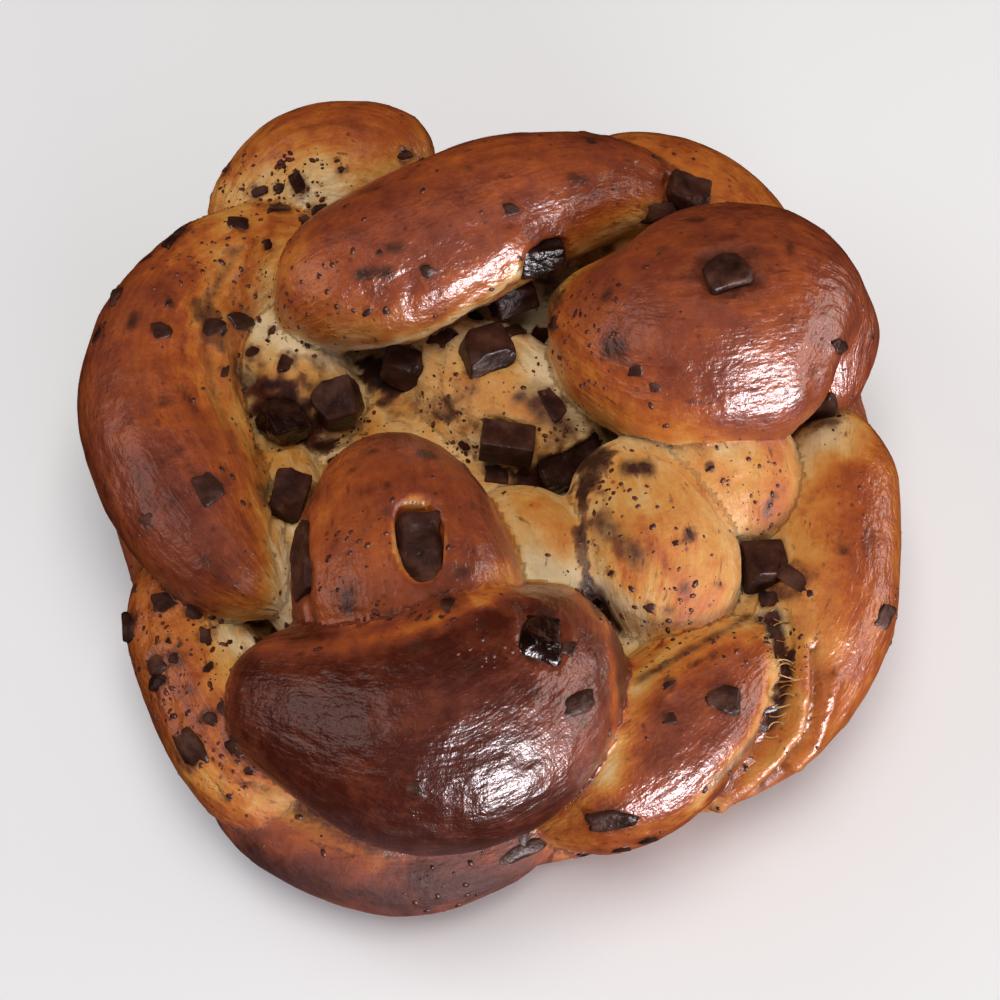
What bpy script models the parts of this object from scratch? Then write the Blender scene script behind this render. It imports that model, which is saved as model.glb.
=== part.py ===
"""Braided loaf: a round enriched bread with chocolate chunks, plaited from thick strands and baked
into one piece. Sizes are in millimetres and are turned to metres by MM.

The loaf stands on its flat base at z = 0, with the middle of its outline at x = y = 0.
The front, where the widest strand bulges out, faces -Y.
"""

import math

import bmesh
import bpy
from mathutils import Euler, Matrix, Vector

MM = 0.001

# How the dough is drawn out: sides round a strand, rings along it, and how square its ends are.
STRAND_SIDES = 20
STRAND_RINGS = 20
END_BLUNTNESS = 6.0

# The crumb that fills the loaf behind the strands, a low mound cut flat by the baking tray.
CORE_CENTRE = (0, 0, 10)
CORE_HALF_SIZE = (84, 90, 20)
TRAY_SIZE = 260
TRAY_DEPTH = 40

# The strands fuse in the oven: the skin over them is remade in cells of this size, relaxed, and
# thinned to a share of its triangles.
SKIN_CELL = 3.5
SKIN_RELAX = 0.5
SKIN_RELAX_TURNS = 2
SKIN_SHARE_KEPT = 0.31

# Each strand is (flatness, waypoints). Flatness is its height over its width. A waypoint is
# (x, y, z, half width): a place on the strand's centre line, and how thick the dough is there.
STRANDS = {
    # Upper strands, from the back round to the front.
    "back_left": (0.90, ((-66, 67, 24, 11), (-57, 77, 29, 14.5), (-44, 83.5, 34, 18.5),
                         (-28, 83, 35.5, 18), (-16, 76, 33, 12))),
    "back_right": (0.90, ((15, 74, 32, 14), (34, 74, 34, 19.5), (51, 69, 33, 20),
                          (63, 60, 30, 18), (74, 44, 28, 11))),
    "top_centre": (0.95, ((-49, 37, 38, 9), (-37, 42, 44, 17), (-13, 52, 50, 19.5),
                          (11, 62, 52, 17), (33, 67, 50, 12.5), (53, 60, 46, 6))),
    "top_right": (0.92, ((17, 43, 40, 11), (33, 31, 45, 24), (50, 27, 49, 29.5),
                         (66, 30, 47, 28), (77, 28, 40, 20), (83, 16, 33, 11))),
    "left": (0.95, ((-36, 64, 34, 9), (-55, 59, 35, 14), (-69, 46, 36, 16.5), (-76.5, 29, 38, 18),
                    (-76, 8, 38, 19), (-67, -12, 38, 18.3), (-55, -29, 38, 13.5), (-45, -38, 36, 8))),
    "right": (0.90, ((86, 18, 25, 10), (83, 1, 28, 15), (80.5, -21, 28, 16), (76, -39, 27, 16),
                     (67, -54, 24, 15), (52, -66, 19, 13), (36, -74, 15, 10))),
    "front": (0.95, ((-54, -57, 34, 11), (-43, -61, 39, 17.5), (-16, -68, 43, 27),
                     (-2, -64, 43, 28), (11, -51, 39, 22.5), (16, -35, 36, 14))),
    "front_right": (0.90, ((66, -41, 26, 9), (54, -52, 29, 15), (39, -65, 29, 18),
                           (25, -76, 24, 16), (12, -84, 18, 9))),
    # Strands that show in the middle, lower and paler.
    "inner_left": (0.90, ((-24, 4, 34, 8), (-22, -10, 40, 17.5), (-19, -27, 44, 23.5),
                          (-16, -43, 42, 25), (-14, -57, 34, 14))),
    "inner_right": (0.95, ((31, 2, 31, 12), (35, -13, 36, 17), (40, -30, 35, 17.5), (37, -45, 30, 9))),
    "inner_back": (0.75, ((44, 8, 34, 14), (53, 0, 36, 19), (59, -10, 36, 15), (62, -20, 32, 6))),
    "inner_small": (0.95, ((-4, -17, 30, 11), (9, -20, 35, 12.5), (14, -27, 35, 12.5), (14, -38, 32, 10))),
    "pale_back": (0.85, ((-19, 38, 24, 10), (-1, 25, 28, 17), (14, 14, 28, 15), (30, 12, 26, 8))),
    "pale_left": (0.85, ((-64, 57, 22, 9), (-55, 36, 26, 15), (-45, 22, 27, 16), (-30, 15, 26, 10))),
    "pale_strip": (0.85, ((-52, 14, 26, 7), (-46, -13, 31, 11), (-40, -31, 31, 11), (-35, -43, 30, 8))),
    "pale_right": (0.85, ((24, -50, 24, 8), (45, -42, 26, 11), (66, -31, 25, 9))),
    # Lower strands, round the foot of the loaf.
    "low_left": (0.90, ((-74, -14, 20, 9), (-71, -32, 20, 13), (-62, -51, 22, 15.5),
                        (-51, -69, 21, 15), (-37, -80, 18, 11))),
    "low_front": (0.90, ((-61, -64, 12, 8), (-50, -75, 14, 12), (-35, -82, 15, 15),
                         (-18, -87, 15, 15), (1, -84, 15, 12), (17, -76, 16, 9))),
    "foot_back_left": (0.90, ((-84, 18, 15, 10), (-75, 48, 15, 13), (-53, 72, 16, 14),
                              (-22, 80, 16, 13), (2, 76, 15, 9))),
    "foot_back_right": (0.90, ((-4, 77, 15, 10), (26, 79, 16, 14), (53, 67, 16, 14),
                               (73, 45, 16, 13), (83, 19, 16, 12), (87, -6, 15, 10))),
    "foot_left": (0.90, ((-76, 34, 14, 9), (-80, 9, 15, 12), (-74, -16, 15, 12), (-68, -36, 15, 10))),
    "foot_right": (0.90, ((85, 4, 13, 9), (83, -21, 13, 12), (75, -43, 13, 11), (60, -58, 13, 9))),
}

# The oval blister that has burst open over a chunk: centre, half size, and tilt in degrees.
BLISTER_CENTRE = (-14, -34, 67)
BLISTER_HALF_SIZE = (6, 11.5, 8)
BLISTER_TURN = (12, 0, 4)
BLISTER_SIDES = 16
BLISTER_RINGS = 10

# The chocolate chunks as large as berries: centre, size, and turn in degrees about X, Y and Z.
CHUNKS = {
    "chunk_back_pale": ((0, 26, 41), (11.5, 11, 9), (-20, 8, 20)),
    "chunk_left_block": ((-35, 15, 36), (10.5, 10.5, 9.5), (10, -15, 10)),
    "chunk_left_shadow": ((-48, 10, 36), (9, 10, 8), (0, 20, 30)),
    "chunk_under_top": ((-19, 28, 31), (12, 8, 8), (-15, 0, -12)),
    "chunk_middle_bar": ((5, 4, 37), (12.5, 8, 7), (-12, 6, -6)),
    "chunk_middle_melted": ((20, 1.5, 29.5), (14.5, 12, 9), (0, 0, 12)),
    "chunk_right_square": ((63, -27, 35), (10, 10, 8), (-12, 10, 8)),
    "chunk_blister": ((-14, -35.5, 60), (10, 17, 8), (12, 0, 4)),
    "chunk_far_back": ((48, 63, 53), (10, 8, 8), (0, 20, -8)),
    "chunk_right_crown": ((53, 26, 74.5), (10, 9, 5), (0, 2, 20)),
    "chunk_between_crowns": ((13, 45, 54), (11, 8, 8), (-25, 0, 8)),
    "chunk_crevice": ((6, 44, 40), (11, 9, 9), (-30, 0, 25)),
    "chunk_left_strip": ((-45, -12, 41), (8, 11, 7), (0, 12, -14)),
    "chunk_long_sliver": ((-38, -34, 52), (6, 17, 8), (-10, 30, 4)),
    "chunk_front_crown": ((10.5, -57, 62), (9, 12, 7), (-14, 24, -10)),
}
CHUNK_BEVEL = 1.2
CHUNK_TAPER = 0.85
POCKET_GAP = 0.3


def clear_scene():
    for old in list(bpy.data.objects):
        bpy.data.objects.remove(old, do_unlink=True)


def new_collection(name):
    made = bpy.data.collections.new(name)
    bpy.context.scene.collection.children.link(made)
    return made


def new_material(name, colour, roughness):
    made = bpy.data.materials.new(name)
    made.use_nodes = True
    shader = made.node_tree.nodes["Principled BSDF"]
    shader.inputs["Base Color"].default_value = (*colour, 1)
    shader.inputs["Roughness"].default_value = roughness
    shader.inputs["Metallic"].default_value = 0
    return made


def add_object(name, form, collection, material=None):
    """Makes an object from a bmesh and puts it in a collection."""
    mesh = bpy.data.meshes.new(name)
    form.to_mesh(mesh)
    form.free()
    mesh.shade_smooth()
    if material:
        mesh.materials.append(material)
    made = bpy.data.objects.new(name, mesh)
    collection.objects.link(made)
    return made


def along(waypoints, share):
    """A point on the smooth curve through the waypoints, at a share of its way from 0 to 1."""
    points = [Vector(w) for w in waypoints]
    points.insert(0, 2 * points[0] - points[1])
    points.append(2 * points[-1] - points[-2])
    spans = len(points) - 3
    place = min(max(share, 0), 1) * spans
    span = min(int(place), spans - 1)
    t = place - span
    a, b, c, d = points[span:span + 4]
    return (2 * b + (c - a) * t + (2 * a - 5 * b + 4 * c - d) * t**2
            + (3 * b - a - 3 * c + d) * t**3) / 2


def draw_out(ball, flatness, waypoints):
    """Draws the vertices of a unit ball out into a strand of dough along the waypoints."""
    step = 0.01
    for vertex in ball:
        share = math.acos(max(-1, min(1, vertex.co.z))) / math.pi
        *centre, half_width = along(waypoints, share)
        *ahead, _ = along(waypoints, share + step)
        *behind, _ = along(waypoints, share - step)
        direction = (Vector(ahead) - Vector(behind)).normalized()
        side = direction.cross(Vector((0, 0, 1))).normalized()
        up = side.cross(direction)
        end = math.sqrt(max(0, 1 - abs(2 * share - 1) ** END_BLUNTNESS))
        around = math.atan2(vertex.co.y, vertex.co.x)
        out = side * math.cos(around) + up * math.sin(around) * flatness
        vertex.co = (Vector(centre) + out * half_width * end) * MM


def add_strand(form, flatness, waypoints):
    """A strand starts as a ball of dough, which is drawn out along its waypoints."""
    ball = bmesh.ops.create_uvsphere(form, u_segments=STRAND_SIDES, v_segments=STRAND_RINGS, radius=1)
    draw_out(ball["verts"], flatness, waypoints)


def add_core(form):
    ball = bmesh.ops.create_uvsphere(form, u_segments=2 * STRAND_SIDES, v_segments=STRAND_RINGS, radius=1)
    bmesh.ops.scale(form, vec=Vector(CORE_HALF_SIZE) * MM, verts=ball["verts"])
    bmesh.ops.translate(form, vec=Vector(CORE_CENTRE) * MM, verts=ball["verts"])


def placed(centre, turn):
    """The matrix that turns a shape by degrees and carries it to a centre in millimetres."""
    angles = Euler([math.radians(a) for a in turn])
    return Matrix.Translation(Vector(centre) * MM) @ angles.to_matrix().to_4x4()


def add_chunk(name, size, centre, turn, collection, material=None):
    """A chopped block of chocolate: a cube that narrows upwards, with its edges melted round."""
    form = bmesh.new()
    bmesh.ops.create_cube(form, size=1)
    for vertex in form.verts:
        narrow = CHUNK_TAPER if vertex.co.z > 0 else 1
        x, y, z = vertex.co
        vertex.co = Vector((x * size[0] * narrow, y * size[1] * narrow, z * size[2])) * MM
    bmesh.ops.bevel(form, geom=form.edges[:], offset=CHUNK_BEVEL * MM, segments=1, affect="EDGES")
    form.transform(placed(centre, turn))
    return add_object(name, form, collection, material)


def add_cutter(made):
    made.hide_render = True
    made.display_type = "WIRE"
    return made


def cut(target, cutter):
    modifier = target.modifiers.new(f"cut_{cutter.name}", "BOOLEAN")
    modifier.operation = "DIFFERENCE"
    modifier.object = cutter


def build_cutters(collection):
    """What is taken from the loaf: the tray under it, the burst blister, and a pocket for each chunk."""
    tray = bmesh.new()
    bmesh.ops.create_cube(tray, size=1)
    bmesh.ops.scale(tray, vec=Vector((TRAY_SIZE, TRAY_SIZE, TRAY_DEPTH)) * MM, verts=tray.verts)
    bmesh.ops.translate(tray, vec=(0, 0, -TRAY_DEPTH / 2 * MM), verts=tray.verts)
    cutters = [add_object("tray", tray, collection)]

    blister = bmesh.new()
    bmesh.ops.create_uvsphere(blister, u_segments=BLISTER_SIDES, v_segments=BLISTER_RINGS, radius=1)
    bmesh.ops.scale(blister, vec=Vector(BLISTER_HALF_SIZE) * MM, verts=blister.verts)
    blister.transform(placed(BLISTER_CENTRE, BLISTER_TURN))
    cutters.append(add_object("blister", blister, collection))

    for name, (centre, size, turn) in CHUNKS.items():
        roomy = [side + 2 * POCKET_GAP for side in size]
        cutters.append(add_chunk(f"pocket_{name}", roomy, centre, turn, collection))
    return [add_cutter(cutter) for cutter in cutters]


def build_loaf(collection, material, cutters):
    form = bmesh.new()
    add_core(form)
    for flatness, waypoints in STRANDS.values():
        add_strand(form, flatness, waypoints)
    loaf = add_object("braided_loaf", form, collection, material)

    skin = loaf.modifiers.new("skin", "REMESH")
    skin.mode = "VOXEL"
    skin.voxel_size = SKIN_CELL * MM
    skin.use_smooth_shade = True
    relax = loaf.modifiers.new("relax", "SMOOTH")
    relax.factor = SKIN_RELAX
    relax.iterations = SKIN_RELAX_TURNS
    thin = loaf.modifiers.new("thin", "DECIMATE")
    thin.ratio = SKIN_SHARE_KEPT
    for cutter in cutters:
        cut(loaf, cutter)
    return loaf


def build_chunks(collection, material):
    for name, (centre, size, turn) in CHUNKS.items():
        add_chunk(name, size, centre, turn, collection, material)


def main():
    clear_scene()
    parts = new_collection("braided_loaf")
    tools = new_collection("cutters")
    crust = new_material("baked_crust", (0.27, 0.085, 0.025), 0.35)
    chocolate = new_material("dark_chocolate", (0.035, 0.015, 0.010), 0.4)
    build_loaf(parts, crust, build_cutters(tools))
    build_chunks(parts, chocolate)


main()
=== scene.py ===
"""Looks of the braided loaf: a round, irregularly plaited brioche with chopped dark chocolate.

The crust is one mesh with the true folds of the dough. The large chocolate chunks stand for the
CAD chunks, each where its CAD node is. Chips and specks are joined meshes, one piece a kind.
Lengths are in millimetres and are turned to metres by MM, unless a name says otherwise. Pixels are
those of the 1000 pixel photograph, and turns are in degrees, anticlockwise as the picture shows.
"""

import math
import random

import bpy
import numpy as np
from mathutils import Euler, Matrix, Vector, noise
from mathutils.bvhtree import BVHTree
from mathutils.kdtree import KDTree


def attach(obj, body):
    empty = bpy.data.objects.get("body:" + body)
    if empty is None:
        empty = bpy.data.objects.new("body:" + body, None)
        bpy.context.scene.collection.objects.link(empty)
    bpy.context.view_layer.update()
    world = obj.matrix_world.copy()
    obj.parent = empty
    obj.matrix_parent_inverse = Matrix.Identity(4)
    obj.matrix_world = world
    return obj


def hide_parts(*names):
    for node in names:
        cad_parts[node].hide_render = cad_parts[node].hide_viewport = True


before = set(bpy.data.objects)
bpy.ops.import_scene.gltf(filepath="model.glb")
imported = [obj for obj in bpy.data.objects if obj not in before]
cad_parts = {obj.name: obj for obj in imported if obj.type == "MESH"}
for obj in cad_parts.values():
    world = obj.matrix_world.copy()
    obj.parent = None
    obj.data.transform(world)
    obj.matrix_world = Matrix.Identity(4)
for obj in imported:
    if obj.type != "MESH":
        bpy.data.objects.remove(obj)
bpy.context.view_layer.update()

MM = 0.001

# Camera: where the photograph was taken from. TARGET shows at TARGET_PIXEL.
FRAME_PIXELS = 1000
SENSOR = 36.0
TARGET = Vector((1, -11, 32)) * MM
TARGET_PIXEL = (490, 510)
CAMERA_ELEVATION = math.radians(63)
CAMERA_DISTANCE = 430 * MM
PIXELS_PER_MM = 4.3
FOCAL_PIXELS = PIXELS_PER_MM * CAMERA_DISTANCE / MM
TO_CAMERA = Vector((0, -math.cos(CAMERA_ELEVATION), math.sin(CAMERA_ELEVATION)))
CAMERA_RIGHT = Vector((1, 0, 0))
CAMERA_UP = TO_CAMERA.cross(CAMERA_RIGHT)
CAMERA_PLACE = TARGET + TO_CAMERA * CAMERA_DISTANCE

# Dough: the strands' own points, as the CAD has them. Each strand is (flatness, waypoints), and a
# waypoint is (x, y, z, half width).
STRANDS = {
    "back_left": (0.90, ((-66, 67, 24, 11), (-57, 77, 29, 14.5), (-44, 83.5, 34, 18.5),
                         (-28, 83, 35.5, 18), (-16, 76, 33, 12))),
    "back_right": (0.90, ((15, 74, 32, 14), (34, 74, 34, 19.5), (51, 69, 33, 20),
                          (63, 60, 30, 18), (74, 44, 28, 11))),
    "top_centre": (0.95, ((-49, 37, 38, 9), (-37, 42, 44, 17), (-13, 52, 50, 19.5),
                          (11, 62, 52, 17), (33, 67, 50, 12.5), (53, 60, 46, 6))),
    "top_right": (0.92, ((17, 43, 40, 11), (33, 31, 45, 24), (50, 27, 49, 29.5),
                         (66, 30, 47, 28), (77, 28, 40, 20), (83, 16, 33, 11))),
    "left": (0.95, ((-36, 64, 34, 9), (-55, 59, 35, 14), (-69, 46, 36, 16.5), (-76.5, 29, 38, 18),
                    (-76, 8, 38, 19), (-67, -12, 38, 18.3), (-55, -29, 38, 13.5), (-45, -38, 36, 8))),
    "right": (0.90, ((86, 18, 25, 10), (83, 1, 28, 15), (80.5, -21, 28, 16), (76, -39, 27, 16),
                     (67, -54, 24, 15), (52, -66, 19, 13), (36, -74, 15, 10))),
    "front": (0.95, ((-54, -57, 34, 11), (-43, -61, 39, 17.5), (-16, -68, 43, 27),
                     (-2, -64, 43, 28), (11, -51, 39, 22.5), (16, -35, 36, 14))),
    "front_right": (0.90, ((66, -41, 26, 9), (54, -52, 29, 15), (39, -65, 29, 18),
                           (25, -76, 24, 16), (12, -84, 18, 9))),
    "inner_left": (0.90, ((-24, 4, 34, 8), (-22, -10, 40, 17.5), (-19, -27, 44, 23.5),
                          (-16, -43, 42, 25), (-14, -57, 34, 14))),
    "inner_right": (0.95, ((31, 2, 31, 12), (35, -13, 36, 17), (40, -30, 35, 17.5), (37, -45, 30, 9))),
    "inner_back": (0.75, ((44, 8, 34, 14), (53, 0, 36, 19), (59, -10, 36, 15), (62, -20, 32, 6))),
    "inner_small": (0.95, ((-4, -17, 30, 11), (9, -20, 35, 12.5), (14, -27, 35, 12.5),
                           (14, -38, 32, 10))),
    "pale_back": (0.85, ((-19, 38, 24, 10), (-1, 25, 28, 17), (14, 14, 28, 15), (30, 12, 26, 8))),
    "pale_left": (0.85, ((-64, 57, 22, 9), (-55, 36, 26, 15), (-45, 22, 27, 16), (-30, 15, 26, 10))),
    "pale_strip": (0.85, ((-52, 14, 26, 7), (-46, -13, 31, 11), (-40, -31, 31, 11), (-35, -43, 30, 8))),
    "pale_right": (0.85, ((24, -50, 24, 8), (45, -42, 26, 11), (66, -31, 25, 9))),
    "low_left": (0.90, ((-74, -14, 20, 9), (-71, -32, 20, 13), (-62, -51, 22, 15.5),
                        (-51, -69, 21, 15), (-37, -80, 18, 11))),
    "low_front": (0.90, ((-61, -64, 12, 8), (-50, -75, 14, 12), (-35, -82, 15, 15),
                         (-18, -87, 15, 15), (1, -84, 15, 12), (17, -76, 16, 9))),
    "foot_back_left": (0.90, ((-84, 18, 15, 10), (-75, 48, 15, 13), (-53, 72, 16, 14),
                              (-22, 80, 16, 13), (2, 76, 15, 9))),
    "foot_back_right": (0.90, ((-4, 77, 15, 10), (26, 79, 16, 14), (53, 67, 16, 14),
                               (73, 45, 16, 13), (83, 19, 16, 12), (87, -6, 15, 10))),
    "foot_left": (0.90, ((-76, 34, 14, 9), (-80, 9, 15, 12), (-74, -16, 15, 12), (-68, -36, 15, 10))),
    "foot_right": (0.90, ((85, 4, 13, 9), (83, -21, 13, 12), (75, -43, 13, 11), (60, -58, 13, 9))),
}
END_BLUNTNESS = 6.0
CORE_CENTRE = (0, 0, 10)
CORE_HALF_SIZE = (84, 90, 20)
STRAND_SIDES = 64
STRAND_RINGS = 96
COURSE_SAMPLES = 200
METRES_BETWEEN_STRANDS = 0.1
CORE = "core"

# How brown each strand baked, from 0, raw and pale, to 1, almost black: (in its creases, on top).
BROWNING = {
    "back_left": (0.26, 0.52),
    "back_right": (0.30, 0.54),
    "top_centre": (0.22, 0.74),
    "top_right": (0.26, 0.73),
    "left": (0.24, 0.71),
    "right": (0.20, 0.53),
    "front": (0.45, 0.97),
    "front_right": (0.22, 0.66),
    "inner_left": (0.34, 0.75),
    "inner_right": (0.06, 0.30),
    "inner_back": (0.06, 0.32),
    "inner_small": (0.05, 0.28),
    "pale_back": (0.12, 0.34),
    "pale_left": (0.12, 0.32),
    "pale_strip": (0.12, 0.34),
    "pale_right": (0.12, 0.36),
    "low_left": (0.28, 0.58),
    "low_front": (0.32, 0.72),
    "foot_back_left": (0.40, 0.66),
    "foot_back_right": (0.40, 0.66),
    "foot_left": (0.40, 0.64),
    "foot_right": (0.40, 0.64),
    CORE: (0.10, 0.55),
}
BASE_BROWNING = 0.60
BLISTER_BROWNING = 0.40
BLISTER_EDGE = (0.93, 1.01)

# What the oven and the brush reach, and where the folds take painted shade. Each pair is where it
# starts and where it is full, by how open a place lies, from 0, shut in a fold, to 1, unless the name
# says another measure.
BROWNED_SKY = (0.25, 0.95)
# Painted shade in the most shut-in folds, and its greatest strength.
FOLD_SHADED_SKY = (0.04, 0.24)
FOLD_SHADE = 0.45
PULLED_SKY = (0.35, 0.75)
STREAKS_ON_TOP = 0.12
STREAKS_IN_FOLDS = 0.40
BRUSHED_SKY = (0.30, 0.75)
BRUSHED_HEIGHTS = (14, 30)
BRUSHED_BROWNING = (0.15, 0.55)
SKY_BLENDING_TURNS = 4
BAKE_BLENDING_TURNS = 5

# Crust mesh: the cell the skin is remade in, and the folds' softness.
SKIN_CELL = 1.2
SKIN_RELAX_TURNS = 5
RELAX_SHARE = 0.5

# Unevenness of the skin: lumps as (size, height), and the ridges that the pulled dough keeps along
# a strand as (length, width, height).
LUMPS = ((26, 0.8), (9, 0.32), (3.4, 0.13))
DRAWN_RIDGES = ((26, 4.2, 0.34), (14, 2.5, 0.20))
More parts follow.
